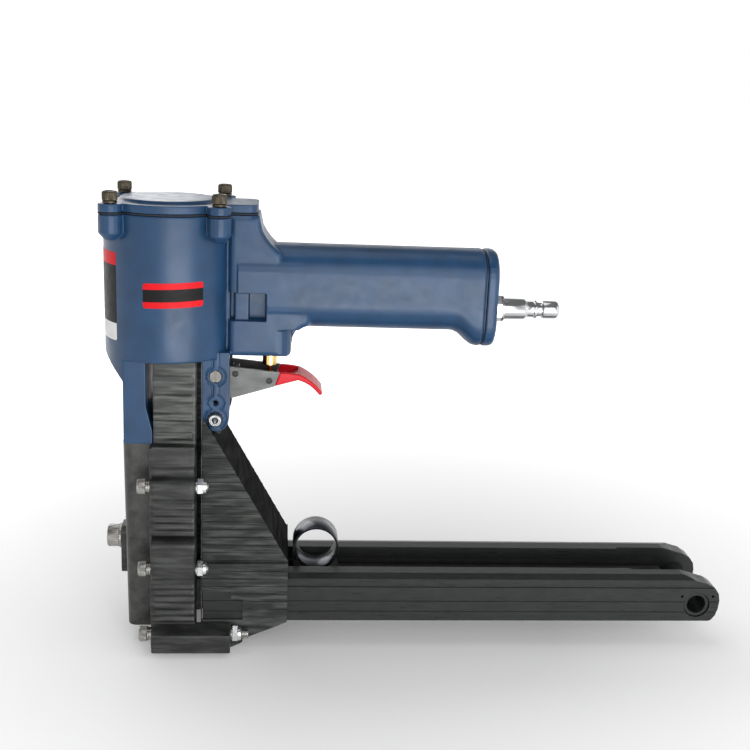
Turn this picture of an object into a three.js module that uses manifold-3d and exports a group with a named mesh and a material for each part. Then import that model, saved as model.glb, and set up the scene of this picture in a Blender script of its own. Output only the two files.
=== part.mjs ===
// Pneumatic carton closing stapler: a cast air housing over a clinching nose, with a long staple magazine.
// Millimetres, +X from the nose to the rear end of the magazine, +Z up, sole of the nose on z = 0.
import * as THREE from 'three';
import { mergeVertices } from 'three/addons/utils/BufferGeometryUtils.js';
import Module from 'manifold-3d';

// Driving dimensions
const clearance = 0.3;
const overrun = 20;
const barrelRadius = 39.9;
const barrelBottom = 194;
const barrelTop = 283.4;
const boreRadius = 30;
const strokeLength = 36;
const screwPitch = 64.4;
const screwShift = 1.1;
const stapleCrown = 35;
const m6 = {
  shank: 3, head: 4.9, headHeight: 5.4, socket: 2.5, socketDepth: 3, nutRadius: 5.5, nutHeight: 6,
  collar: 4.3, headCollar: 2.6, nutCollar: 0.8,
};
const flatness = 0.04;

// Counts of sides and steps
const hexSides = 6;
const edgeSteps = 3;
const turns = { barrel: 56, fine: 32, normal: 16, coarse: 10, grip: 7, corner: 4 };
const miterShare = 0.5;

const cap = { flange: 4.9, discRadius: 29.5, discHeight: 1.6, dish: 3, gasket: 0.9, screwHead: 7,
  screwRadius: 4.6 };
const capLobe = { reach: 56, halfWidth: 19, round: 6 };
const boss = { radius: 7.2, depth: 13.2, drop: 6 };

// The grip, hung below the top of the barrel
const handle = {
  start: 44, end: 199.6, drop: 18.8, height: 52.4, halfWidth: 20.5, round: 15.5,
  flareLength: 18.6, flareDrop: 10, wall: 4, chamberStart: 74, edge: 1.2, bulgeShare: 0.16,
};
handle.top = barrelTop - handle.drop;
handle.bottom = handle.top - handle.height;
handle.flareBottom = handle.bottom - handle.flareDrop;
handle.flareStart = handle.end - handle.flareLength;
const endCap = { thickness: 5.6, dome: 1.6, gasket: 0.8, inset: 0.5 };
const plug = {
  drop: 38.6, hexRadius: 8.6, hexLength: 5.4, flange: 8.6, flangeLength: 1.4, body: 7.1, bodyLength: 12,
  neck: 4.7,
  groove: 6.2, head: 5.9, tipLength: 9, length: 43.3, bore: 2.6, thread: 6, threadLength: 9,
};
plug.height = handle.top - plug.drop;

// The neck between barrel and grip, with the valve block under it
const neck = { start: 38.8, halfWidth: 19.5, webHalf: 15, drop: 0.2, shoulder: 57, shoulderEnd: 71,
  round: 3, slopeReach: 4 };
neck.top = barrelTop - neck.drop;
const valveBlock = { rear: 78.2, rise: 0.8, edge: 3, fillet: 11, corner: 10 };
valveBlock.bottom = barrelBottom + valveBlock.rise;
const pocket = { rise: 22.7, height: 18, depth: 5.5, front: 0.3, length: 22.9, webStart: 3.6,
  webEnd: 12.2 };
pocket.bottom = valveBlock.bottom + pocket.rise;
pocket.start = neck.start + pocket.front;
const valve = { x: 64.4, radius: 4.7, drop: 9.4, bodyRadius: 6, depth: 16, bore: 1.9, stem: 1.5,
  stemTip: 2.9 };
valve.bottom = valveBlock.bottom - valve.drop;

// The air motor inside the barrel
const sleeve = { wall: 2.5, rise: 16 };
sleeve.bottom = barrelBottom + sleeve.rise;
const piston = { height: 22, rodRadius: 8, rodLength: 16, oRing: 2.2, ringDepth: 1.9 };
const bumper = { hole: 10.5, drop: 0.6 };

// The ears under the neck and the three holes through them
const ear = { centre: 31, halfWidth: 8.6, outer: 24, thickness: 5.6, relief: 1, line: 1.2, neckLine: 1.3 };
const pivotHole = { drop: 11.6, radius: 4, ring: 5.6, slot: 1.2 };
pivotHole.height = barrelBottom - pivotHole.drop;
const smallHole = { drop: 28.9, radius: 1.7, ring: 4.6 };
smallHole.height = barrelBottom - smallHole.drop;
const lugHole = { drop: 39.3, radius: 2.5, ring: 6.3 };
lugHole.height = barrelBottom - lugHole.drop;
const lugNut = { radius: 4.1, length: 2.4, washerRadius: 5.8, washer: 1, teeth: 12 };

// The trigger lever: places along X are from the pivot, levels from the pivot's height
const trigger = {
  halfWidth: 12, sheet: 2, lugRound: 6, dip: 0.9, pinInset: 1, seam: 0.05,
  lugReach: 9, plateReach: 9.5, plateLength: 27.5, crestReach: 40.3, underReach: 52.2, bendReach: 53.7,
  tipReach: 66.9,
  topRise: 5.4, topEndRise: 0.4, bendDrop: 1.1, underDrop: 4.6, rearDrop: 8.9, tipDrop: 13.4,
  deepDrop: 17.2,
};
trigger.front = ear.centre - trigger.lugReach;
trigger.plateStart = ear.centre + trigger.plateReach;
trigger.plateEnd = trigger.plateStart + trigger.plateLength;
trigger.crest = ear.centre + trigger.crestReach;
trigger.underCrest = ear.centre + trigger.underReach;
trigger.bendX = ear.centre + trigger.bendReach;
trigger.tip = ear.centre + trigger.tipReach;
trigger.top = pivotHole.height + trigger.topRise;
trigger.topEnd = pivotHole.height + trigger.topEndRise;
trigger.bendZ = pivotHole.height - trigger.bendDrop;
trigger.underHeight = pivotHole.height - trigger.underDrop;
trigger.rearDepth = pivotHole.height - trigger.rearDrop;
trigger.tipHeight = pivotHole.height - trigger.tipDrop;
trigger.deepest = pivotHole.height - trigger.deepDrop;
const triggerPins = { radius: 2, frontReach: 11.8, frontDrop: 0.9, rearDrop: 5.1 };
triggerPins.frontX = ear.centre + triggerPins.frontReach;
triggerPins.frontZ = pivotHole.height - triggerPins.frontDrop;
triggerPins.rearX = valve.x;
triggerPins.rearZ = pivotHole.height - triggerPins.rearDrop;

// The nose: two side castings with bolt bosses, under the housing's front leg
const nose = { front: 7.2, rear: 19.2, outer: 37.5, step: 6, slack: 1.7, stepHeight: 140, gap: 0.4 };
nose.columnFront = -nose.front;
nose.upperOuter = nose.outer - nose.step;
nose.inner = stapleCrown / 2 + nose.slack;
nose.top = barrelBottom - nose.gap;
const leg = {
  front: 25.6, thickness: 14.2, gap: 0.4, halfWidth: 31, round: 7, rise: 2, toeHeight: 8, toeTaper: 16,
};
leg.bottom = nose.stepHeight - leg.gap;
leg.taperTop = barrelBottom + leg.rise;
leg.rear = leg.thickness - leg.front;
leg.toe = nose.columnFront - leg.gap - leg.rear;
const strips = {
  drop: 9.6, pitch: 12.1, count: 4, width: 4, height: 1, fineDrop: 12, finePitch: 4.6, fineWidth: 1.6,
  fine: 0.7,
};
const bossY = 40.2;
const bossEdge = { margin: 7, round: 4, flange: 2.2, front: 0.7, rear: 0.8 };
bossEdge.outer = bossY + bossEdge.margin;
const upperBoss = { level: 'upper', height: 115, above: 5.8, below: 8.4, tail: 1 };
const middleBoss = { level: 'middle', height: 59.1, above: 21.3, below: 6.7, tail: 1 };
const lowerBoss = { level: 'lower', height: 13.2, above: 5.7, reach: 23.4, tail: 4.6 };
upperBoss.rear = nose.rear + bossEdge.rear;
middleBoss.rear = nose.rear + bossEdge.rear;
lowerBoss.rear = nose.rear + lowerBoss.reach;
lowerBoss.below = lowerBoss.height;
const boltBosses = [upperBoss, middleBoss, lowerBoss];
const soleEdge = { proud: 1.3, fall: 3.3, chamferY: 6, chamferZ: 3.4, chamferFront: 3, chamferRear: 1.5 };
soleEdge.outer = bossEdge.outer + soleEdge.proud;

// The front plate with the depth stop, and the clinchers behind it
const frontPlate = {
  gap: 1.2, thickness: 17.6, bottom: 12.4, topGap: 1, halfWidth: 27, round: 6, slotHeight: 64.8,
  slotHalf: 12,
  leanShare: 0.014, bossGap: 1,
};
frontPlate.rear = nose.columnFront - frontPlate.gap;
frontPlate.front = frontPlate.rear - frontPlate.thickness;
frontPlate.top = nose.stepHeight - frontPlate.topGap;
const depthStop = {
  headRadius: 7.6, head: 7.6, washerRadius: 8.4, washer: 1.4, shank: 4, plate: 5, plateDown: 24, plateUp: 9,
  plateHalf: 9,
};
const clincher = {
  pivotY: 7, pivotZ: 42, hub: 5.4, pin: 2.5, toeY: 24.4, toeZ: 4, thickness: 5, gap: 0.8, arm: 3.6,
  foot: 3.1,
  footDepth: 5.2, room: 1.5, toeShare: 0.7,
};
clincher.rear = frontPlate.rear + clincher.gap + clincher.thickness;

// The magazine: rails, core, spacer, pusher and roll spring
const rail = {
  start: 24, length: 349.2, outer: 31.75, lipReach: 1.3, bottom: 18.4, height: 31.8, slope: 1.8,
  shoulderIn: 5.75,
  wallClear: 0.4, grooveDrop: 5.4, grooveHeight: 2.4, grooveDepth: 1, lipThickness: 7.5, noseLength: 33,
  holeIn: 15.6,
  holeRise: 11.8, holeRadius: 9, pinRadius: 1, pinX: 10.8, pinZ: 6.3, pinDepth: 4, lipStop: 59.2,
  lowerLine: 6.6,
  upperLine: 14.1, line: 0.4, over: 1, noseSlopeShare: 0.34, soleShare: 0.5,
};
rail.end = rail.start + rail.length;
rail.top = rail.bottom + rail.height;
rail.lip = stapleCrown / 2 - rail.lipReach;
rail.shoulder = rail.outer - rail.shoulderIn;
rail.topOuter = rail.top - rail.slope;
rail.grooveTop = rail.top - rail.grooveDrop;
rail.grooveBottom = rail.grooveTop - rail.grooveHeight;
rail.holeX = rail.end - rail.holeIn;
rail.holeZ = rail.bottom + rail.holeRise;
rail.lipEnd = rail.end - rail.lipStop;
const core = { slack: 0.2, rise: 19, wall: 3, gap: 1.9 };
core.half = rail.lip - core.slack;
core.top = rail.bottom + core.rise;
core.front = clincher.rear + clincher.footDepth + core.gap;
const driver = { thickness: 2.4, rise: 3.1, grip: 7 };
driver.bottom = core.top + driver.rise;
const spacer = { wall: 2.4, inset: 1 };
const pusher = { start: 5.5, end: 114, plate: 3, skirt: 13, post: 9, postFront: 8.1, postRear: 8.9,
  postRise: 5.8 };
const spring = {
  x: 98.1, width: 20, strip: 0.5, outer: 15.6, layer: 0.95, turnCount: 2, stepCount: 24, tail: 10, bend: 3,
  seat: 0.35,
};

// The bracket that carries the magazine, outside the rails and under the ears
const bracket = {
  gap: 3.6, upperInner: 27.2, thickness: 1.7, rib: 0.7, ribPitch: 5.4, ribWidth: 1.5, rear: 79.1, drop: 0.7,
  rise: 9.2, ledge: 3.4, tailDrop: 0.2, footEnd: 43.2, web: 4.5, lugGap: 0.8, lugRadius: 8, firstRib: 26,
  ribEdge: 2.5,
  frontGap: 0.8, bevel: 6, bevelStart: 50.1,
};
bracket.front = nose.rear + bracket.gap;
bracket.inner = rail.outer + clearance;
bracket.top = lugHole.height - bracket.drop;
bracket.rearTop = rail.top + bracket.rise;
bracket.tail = rail.bottom - bracket.tailDrop;
bracket.lugHalf = ear.outer - ear.thickness - bracket.lugGap;

const wasm = await Module();
wasm.setup();
const { Manifold, Mesh: ManifoldMesh } = wasm;

// Turns a closed three.js geometry into a solid
function solid(geometry) {
  const bare = new THREE.BufferGeometry();
  bare.setAttribute('position', geometry.getAttribute('position'));
  if (geometry.index) bare.setIndex(geometry.index);
  const merged = mergeVertices(bare, 1e-4);
  const vertProperties = Float32Array.from(merged.getAttribute('position').array);
  const triVerts = Uint32Array.from(merged.index.array);
  return new Manifold(new ManifoldMesh({ numProp: 3, vertProperties, triVerts }));
}

function toGeometry(body) {
  const { vertProperties, numProp, triVerts } = body.simplify(flatness).getMesh();
  const geometry = new THREE.BufferGeometry();
  const places = new Float32Array((vertProperties.length / numProp) * 3);
  for (let i = 0; i < places.length / 3; i += 1) {
    for (let k = 0; k < 3; k += 1) places[3 * i + k] = vertProperties[numProp * i + k];
  }
  geometry.setAttribute('position', new THREE.BufferAttribute(places, 3));
  geometry.setIndex(new THREE.BufferAttribute(Uint32Array.from(triVerts), 1));
  geometry.computeVertexNormals();
  return geometry;
}

function block(x0, x1, y0, y1, z0, z1) {
  const shape = new THREE.BoxGeometry(x1 - x0, y1 - y0, z1 - z0);
  return solid(shape.translate((x0 + x1) / 2, (y0 + y1) / 2, (z0 + z1) / 2));
}

// Round bars along each axis, from one place to another
function barX(radius, x0, x1, y, z, sides = turns.normal) {
  const shape = new THREE.CylinderGeometry(radius, radius, x1 - x0, sides);
  return solid(shape.rotateZ(-Math.PI / 2).translate((x0 + x1) / 2, y, z));
}

function barY(radius, y0, y1, x, z, sides = turns.normal) {
  const shape = new THREE.CylinderGeometry(radius, radius, y1 - y0, sides);
  return solid(shape.translate(x, (y0 + y1) / 2, z));
}

function barZ(radius, z0, z1, x, y, sides = turns.normal) {
  const shape = new THREE.CylinderGeometry(radius, radius, z1 - z0, sides);
  return solid(shape.rotateX(Math.PI / 2).translate(x, y, (z0 + z1) / 2));
}

// A profile of [radius, height] turned about the Z axis through x, y
function turnedZ(profile, x = 0, y = 0, sides = turns.fine) {
  const points = profile.map(([r, z]) => new THREE.Vector2(r, z));
  return solid(new THREE.LatheGeometry(points, sides).rotateX(Math.PI / 2).translate(x, y, 0));
}

// A profile of [radius, place] turned about a line along X at y, z
function turnedX(profile, y, z, sides = turns.fine) {
  const points = profile.map(([r, x]) => new THREE.Vector2(r, x));
  return solid(new THREE.LatheGeometry(points, sides).rotateZ(-Math.PI / 2).translate(0, y, z));
}

function asShape(points) {
  if (points instanceof THREE.Shape) return points;
  return new THREE.Shape(points.map(([u, v]) => new THREE.Vector2(u, v)));
}

// An outline in X and Z, extruded along Y
function plateY(points, y0, y1) {
  const shape = asShape(points);
  const options = { depth: y1 - y0, bevelEnabled: false, curveSegments: turns.corner };
  return solid(new THREE.ExtrudeGeometry(shape, options).rotateX(Math.PI / 2).translate(0, y1, 0));
}

// The outline drawn in by a distance, corner by corner
function drawnIn(points, distance) {
  const sign = THREE.ShapeUtils.isClockWise(points) ? -1 : 1;
  return points.map((point, i) => {
    const before = points[(i + points.length - 1) % points.length];
    const after = points[(i + 1) % points.length];
    const a = point.clone().sub(before).normalize();
    const b = after.clone().sub(point).normalize();
    const inward = new THREE.Vector2(-a.y - b.y, a.x + b.x).normalize();
    const reach = distance / Math.max(inward.dot(new THREE.Vector2(-a.y, a.x)), miterShare);
    return point.clone().addScaledVector(inward, sign * reach);
  });
}

// An outline in X and Z, extruded along Y with its long edges rounded over
function softPlateY(shape, y0, y1, edge) {
  const outline = shape.getPoints(turns.corner);
  if (outline[0].distanceTo(outline.at(-1)) < clearance / 10) outline.pop();
  if (THREE.ShapeUtils.isClockWise(outline)) outline.reverse();
  const count = outline.length;
  const places = [];
  const layers = [];
  for (let i = 0; i <= edgeSteps; i += 1) {
    const angle = (Math.PI / 2) * (i / edgeSteps);
    layers.push([edge * (1 - Math.sin(angle)), y0 + edge * (1 - Math.cos(angle))]);
  }
  for (let i = edgeSteps; i >= 0; i -= 1) {
    const angle = (Math.PI / 2) * (i / edgeSteps);
    layers.push([edge * (1 - Math.sin(angle)), y1 - edge * (1 - Math.cos(angle))]);
  }
  for (const [inset, y] of layers) {
    for (const point of drawnIn(outline, inset)) places.push(point.x, y, point.y);
  }
  const faces = [];
  for (let i = 0; i + 1 < layers.length; i += 1) {
    for (let j = 0; j < count; j += 1) {
      const a = i * count + j;
      const b = i * count + ((j + 1) % count);
      faces.push(a, b + count, b, a, a + count, b + count);
    }
  }
  const last = (layers.length - 1) * count;
  for (const [a, b, c] of THREE.ShapeUtils.triangulateShape(outline, [])) {
    faces.push(a, b, c, last + a, last + c, last + b);
  }
  return closedSolid(places, faces);
}

// An outline in X and Y, extruded along Z
function plateZ(points, z0, z1) {
  const shape = asShape(points);
  const options = { depth: z1 - z0, bevelEnabled: false, curveSegments: turns.corner };
  return solid(new THREE.ExtrudeGeometry(shape, options).translate(0, 0, z0));
}

// An outline in Y and Z, extruded along X
function plateX(points, x0, x1) {
  const shape = asShape(points);
  const options = { depth: x1 - x0, bevelEnabled: false, curveSegments: turns.corner };
  const turn = new THREE.Matrix4().makeBasis(
    new THREE.Vector3(0, 1, 0), new THREE.Vector3(0, 0, 1), new THREE.Vector3(1, 0, 0));
  return solid(new THREE.ExtrudeGeometry(shape, options).applyMatrix4(turn).translate(x0, 0, 0));
}

// A rectangle with round corners, as a shape around its own centre
function roundRect(u0, u1, v0, v1, radius) {
  const shape = new THREE.Shape();
  shape.moveTo(u0 + radius, v0);
  shape.lineTo(u1 - radius, v0);
  shape.absarc(u1 - radius, v0 + radius, radius, -Math.PI / 2, 0);
  shape.lineTo(u1, v1 - radius);
  shape.absarc(u1 - radius, v1 - radius, radius, 0, Math.PI / 2);
  shape.lineTo(u0 + radius, v1);
  shape.absarc(u0 + radius, v1 - radius, radius, Math.PI / 2, Math.PI);
  shape.lineTo(u0, v0 + radius);
  shape.absarc(u0 + radius, v0 + radius, radius, Math.PI, 1.5 * Math.PI);
  return shape;
}

// A solid from points and faces, turned inside out if its faces point inwards
function closedSolid(places, faces) {
  const geometry = new THREE.BufferGeometry();
  geometry.setAttribute('position', new THREE.BufferAttribute(Float32Array.from(places), 3));
  geometry.setIndex(faces);
  const body = solid(geometry);
  if (body.volume() > 0) return body;
  geometry.setIndex(faces.reverse());
  return solid(geometry);
}

// A skin over rings of equal point counts, closed at both ends
function loft(rings) {
  const count = rings[0].length;
  const places = rings.flat(2);
  const faces = [];
  for (let i = 0; i + 1 < rings.length; i += 1) {
    for (let j = 0; j < count; j += 1) {
      const a = i * count + j;
      const b = i * count + ((j + 1) % count);
      faces.push(a, b, b + count, a, b + count, a + count);
    }
  }
  const last = (rings.length - 1) * count;
  for (let j = 1; j + 1 < count; j += 1) {
    faces.push(0, j + 1, j, last, last + j, last + j + 1);
  }
  return closedSolid(places, faces);
}

const join = (first, ...others) => others.reduce((all, next) => all.add(next), first);
const cut = (first, ...others) => others.reduce((all, next) => all.subtract(next), first);
const bothSides = (make) => [make(-1), make(1)];
const span = (side, inner, outer) => (side < 0 ? [-outer, -inner] : [inner, outer]);

// Materials
const paint = new THREE.MeshStandardMaterial({ color: 0x2f4f7a, roughness: 0.45, metalness: 0.15 });
const blackCast = new THREE.MeshStandardMaterial({ color: 0x1c1f20, roughness: 0.5, metalness: 0.4 });
const blackRail = new THREE.MeshStandardMaterial({ color: 0x24282a, roughness: 0.4, metalness: 0.5 });
const bright = new THREE.MeshStandardMaterial({ color: 0xd8dadc, roughness: 0.25, metalness: 1 });
const steel = new THREE.MeshStandardMaterial({ color: 0x8c8a86, roughness: 0.4, metalness: 0.9 });
const brassTone = new THREE.MeshStandardMaterial({ color: 0xc8a04a, roughness: 0.3, metalness: 1 });
const rubberTone = new THREE.MeshStandardMaterial({ color: 0x17181a, roughness: 0.9, metalness: 0 });
const redDip = new THREE.MeshStandardMaterial({ color: 0xd8182c, roughness: 0.3, metalness: 0 });

const stapler = new THREE.Group();

function keep(name, body, material) {
  const piece = new THREE.Mesh(toGeometry(body), material);
  piece.name = name;
  stapler.add(piece);
}

// Where the four cap screws stand
const screwHalf = screwPitch / 2;
const screwPlaces = [
  ['front_left', screwShift - screwHalf, screwHalf], ['front_right', screwShift - screwHalf, -screwHalf],
  ['rear_left', screwShift + screwHalf, screwHalf], ['rear_right', screwShift + screwHalf, -screwHalf],
];

// One section of the grip: flat sides with a full round above and below
function gripRing(x, bottom, top, halfWidth, round) {
  const ring = [];
  const corners = [
    [1, -1, -0.5], [1, 1, 0], [-1, 1, 0.5], [-1, -1, 1],
  ];
  for (const [sideY, sideZ, start] of corners) {
    for (let i = 0; i <= turns.grip; i += 1) {
      const angle = Math.PI * (start + (0.5 * i) / turns.grip);
      const z = sideZ > 0 ? top - round : bottom + round;
      const shift = halfWidth * handle.bulgeShare * sideY;
      ring.push([x, shift + (halfWidth - Math.abs(shift)) * Math.cos(angle), z + round * Math.sin(angle)]);
    }
  }
  return ring;
}

function gripBody() {
  const { start, end, top, bottom, halfWidth, round, flareStart, flareBottom, edge } = handle;
  const reach = end - flareStart;
  const flareShares = [[0, 0], [0.25, 0.2], [0.5, 0.62], [0.75, 0.94], [1, 1]];
  const rings = [gripRing(start, bottom, top, halfWidth, round)];
  for (const [along, down] of flareShares) {
    const x = flareStart + along * (reach - edge);
    rings.push(gripRing(x, bottom + down * (flareBottom - bottom), top, halfWidth + down * edge, round));
  }
  rings.push(gripRing(end, flareBottom + edge / 2, top - edge / 2, halfWidth + edge / 2, round));
  return loft(rings);
}

function gripChamber() {
  const { chamberStart, end, top, bottom, halfWidth, round, wall } = handle;
  const inner = [chamberStart, end + overrun].map((x) => (
    gripRing(x, bottom + wall, top - wall, halfWidth - wall, round - wall)));
  return loft(inner);
}

function screwHoles(z0, z1) {
  return screwPlaces.map(([, x, y]) => barZ(m6.shank + clearance, z0, z1, x, y, turns.coarse));
}

function capOutline(z0, z1, radius, lobe) {
  const bosses = screwPlaces.map(([, x, y]) => barZ(boss.radius, z0, z1, x, y, turns.normal));
  const rib = plateZ(roundRect(0, lobe.reach, -lobe.halfWidth, lobe.halfWidth, lobe.round), z0, z1);
  return join(barZ(radius, z0, z1, 0, 0, turns.barrel), rib, ...bosses);
}

function neckOutline() {
  const { start, top, shoulder, shoulderEnd, slopeReach } = neck;
  const { rear, bottom, edge, fillet } = valveBlock;
  const shape = new THREE.Shape();
  shape.moveTo(start, bottom);
  shape.lineTo(rear - edge, bottom);
  shape.quadraticCurveTo(rear, bottom, rear, bottom + edge);
  shape.lineTo(rear, handle.bottom - fillet);
  shape.quadraticCurveTo(rear, handle.bottom, rear + fillet, handle.bottom + edge);
  shape.lineTo(rear + fillet, handle.bottom + handle.round);
  shape.lineTo(shoulderEnd, handle.top - handle.round);
  shape.lineTo(shoulderEnd, handle.top - slopeReach);
  shape.quadraticCurveTo((shoulder + shoulderEnd) / 2, handle.top, shoulder + slopeReach / 2,
    (top + handle.top) / 2);
  shape.lineTo(shoulder, top);
  shape.lineTo(start, top);
  return shape;
}

// The neck: a plate as wide as the grip, joined to the barrel by a narrower web
function neckBody() {
  const { rear, bottom, corner } = valveBlock;
  const plate = softPlateY(neckOutline(), -neck.halfWidth, neck.halfWidth, neck.round);
  const web = block(0, neck.start + neck.round * 2, -neck.webHalf, neck.webHalf, bottom, neck.top);
  const corners = bothSides((side) => {
    const centre = neck.halfWidth - corner;
    const [y0, y1] = span(side, centre, centre + overrun);
    const square = block(rear - corner, rear + overrun, y0, y1, bottom - overrun, handle.bottom);
    return square.subtract(barZ(corner, bottom - overrun, handle.bottom + overrun, rear - corner,
      side * centre));
  });
  return cut(plate, ...corners).add(web);
}

// The wall below the barrel that carries the front plate
function frontLeg() {
  const { front, rear, bottom, halfWidth, round, taperTop, toe, toeHeight, toeTaper } = leg;
  const profile = [
    [-barrelRadius, taperTop + overrun], [-barrelRadius, taperTop], [-front, taperTop - toeTaper],
    [-front, bottom],
    [rear + toe, bottom], [rear + toe, bottom + toeHeight], [rear, bottom + toeHeight + toeTaper],
    [rear, taperTop + overrun],
  ];
  const side = plateY(profile, -halfWidth, halfWidth);
  const plan = plateZ(roundRect(-front, front, -halfWidth, halfWidth, round), bottom, taperTop - toeTaper);
  const barrel = barZ(barrelRadius, bottom, taperTop + overrun, 0, 0, turns.barrel);
  return side.intersect(barrel.add(plan));
}

// One of the two ears that carry the trigger pivot and the bracket bolt
function earBody(side) {
  const { centre, halfWidth, outer, thickness, relief, line, neckLine } = ear;
  const [y0, y1] = span(side, outer - thickness, outer);
  const top = barrelBottom + handle.wall;
  let body = join(
    block(centre - halfWidth, centre + halfWidth, y0, y1, lugHole.height, top),
    barY(halfWidth, y0, y1, centre, lugHole.height, turns.normal),
  );
  const [c0, c1] = span(side, outer - relief, outer + overrun);
  const [r0, r1] = span(side, outer - relief - overrun, outer + overrun);
  const holes = [pivotHole, smallHole, lugHole];
  const moat = join(
    block(centre - neckLine - line, centre + neckLine + line, c0, c1, lugHole.height, top),
    ...holes.map((hole) => barY(hole.ring + line, c0, c1, centre, hole.height, turns.normal)),
  );
  const island = join(
    block(centre - neckLine, centre + neckLine, r0, r1, lugHole.height, top + overrun),
    ...holes.map((hole) => barY(hole.ring, r0, r1, centre, hole.height, turns.normal)),
  );
  const rim = block(centre - halfWidth + line, centre + halfWidth - line, c0, c1,
    lugHole.height - lugHole.ring, top);
  body = cut(body, moat.subtract(island).intersect(rim));
  const bores = holes.map((hole) => barY(hole.radius + clearance / 2, y0 - line, y1 + line, centre,
    hole.height, turns.coarse));
  return cut(body, ...bores);
}

function neckPocket(side) {
  const { start, length, bottom, height, depth, webStart, webEnd } = pocket;
  const top = bottom + height;
  const [y0, y1] = span(side, neck.halfWidth - depth, neck.halfWidth + overrun);
  const [w0, w1] = span(side, neck.halfWidth - depth - clearance, neck.halfWidth - depth / 2);
  const web = block(neck.start + webStart, neck.start + webEnd, w0, w1, bottom, top);
  return cut(block(start, start + length, y0, y1, bottom, top), web);
}

// The moulded housing: barrel, neck, grip, valve block, front leg and ears in one casting
function housingBody() {
  const barrel = turnedZ([
    [0, barrelBottom], [barrelRadius - clearance, barrelBottom], [barrelRadius, barrelBottom + clearance],
    [barrelRadius, barrelTop], [0, barrelTop],
  ], 0, 0, turns.barrel);
  const bosses = screwPlaces.map(([, x, y]) => {
    const profile = [
      [0, barrelTop - boss.depth - boss.drop / 2],
      [boss.radius / 2, barrelTop - boss.depth - boss.drop / 3],
      [boss.radius, barrelTop - boss.depth + boss.drop / 3], [boss.radius, barrelTop], [0, barrelTop],
    ];
    return turnedZ(profile, x, y, turns.normal);
  });
  const top = capOutline(barrelTop - boss.drop, barrelTop, barrelRadius, capLobe);
  const ears = bothSides(earBody);
  const body = join(barrel, top, neckBody(), gripBody(), frontLeg(), ...ears, ...bosses);
  const boreHoles = [
    barZ(boreRadius, sleeve.bottom, barrelTop + overrun, 0, 0, turns.fine),
    barZ(bumper.hole, barrelBottom - overrun, sleeve.bottom + overrun, 0, 0, turns.normal),
    gripChamber(),
    barZ(valve.bodyRadius + clearance, valveBlock.bottom - overrun, valveBlock.bottom + valve.depth,
      valve.x, 0, turns.normal),
    ...screwHoles(barrelTop - boss.depth, barrelTop + overrun),
    ...bothSides(neckPocket),
  ];
  return cut(body, ...boreHoles);
}

function capBody() {
  const z0 = barrelTop + cap.gasket + 2 * clearance;
  const z1 = z0 + cap.flange;
  const { discRadius, discHeight, dish } = cap;
  const plate = capOutline(z0, z1, barrelRadius, capLobe);
  const disc = turnedZ([
    [0, z1 - clearance], [discRadius, z1 - clearance], [discRadius, z1 + discHeight / 2],
    [discRadius - discHeight / 2, z1 + discHeight], [0, z1 + discHeight],
  ], 0, 0, turns.barrel);
  const ring = turnedZ([
    [discRadius, z1], [discRadius + dish, z1 - dish / 3], [discRadius + 2 * dish, z1],
    [discRadius + 2 * dish, z1 + dish],
    [discRadius, z1 + dish], [discRadius, z1],
  ]);
  const holes = screwHoles(z0 - overrun, z1 + overrun);
  return cut(cut(plate, ring).add(disc), ...holes);
}

function capGasketBody() {
  const z0 = barrelTop + clearance;
  const z1 = z0 + cap.gasket;
  const sheet = capOutline(z0, z1, barrelRadius - clearance, capLobe);
  const holes = screwHoles(z0 - overrun, z1 + overrun);
  return cut(sheet, barZ(boreRadius, z0 - overrun, z1 + overrun, 0, 0, turns.fine), ...holes);
}

// Socket head screws: head upwards, shank downwards
function capScrewBody(x, y) {
  const seat = barrelTop + cap.gasket + 2 * clearance + cap.flange + clearance;
  const top = seat + cap.screwHead;
  const foot = barrelTop - boss.depth + clearance;
  const head = cap.screwRadius;
  const screw = turnedZ([
    [0, foot], [m6.shank, foot], [m6.shank, seat], [head, seat], [head, top - clearance],
    [head - clearance, top],
    [0, top],
  ], x, y, turns.coarse);
  return cut(screw, barZ(m6.socket, top - m6.socketDepth, top + overrun, x, y, hexSides));
}

function endGasketBody() {
  const { end, top, flareBottom, halfWidth, round } = handle;
  const x0 = end + clearance;
  const x1 = x0 + endCap.gasket;
  const inset = endCap.inset;
  const outer = [x0, x1].map((x) => gripRing(x, flareBottom + inset, top - inset, halfWidth - inset,
    round));
  return cut(loft(outer), barX(plug.threadLength, x0 - overrun, x1 + overrun, 0, plug.height,
    turns.normal));
}

function endCapBody() {
  const { end, top, flareBottom, halfWidth, round, edge } = handle;
  const x0 = end + endCap.gasket + 2 * clearance;
  const domeShares = [[0, 0.3], [0.12, 0], [0.55, 0], [0.8, 0.4], [0.94, 1.1], [1, 2.2]];
  const rings = domeShares.map(([along, inset]) => {
    const shrink = inset * edge;
    return gripRing(x0 + along * (endCap.thickness + endCap.dome), flareBottom + shrink, top - shrink,
      halfWidth + edge - shrink, round);
  });
  const bore = barX(plug.thread + clearance, x0 - overrun, x0 + overrun + endCap.thickness, 0, plug.height);
  return cut(loft(rings), bore);
}

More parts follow.
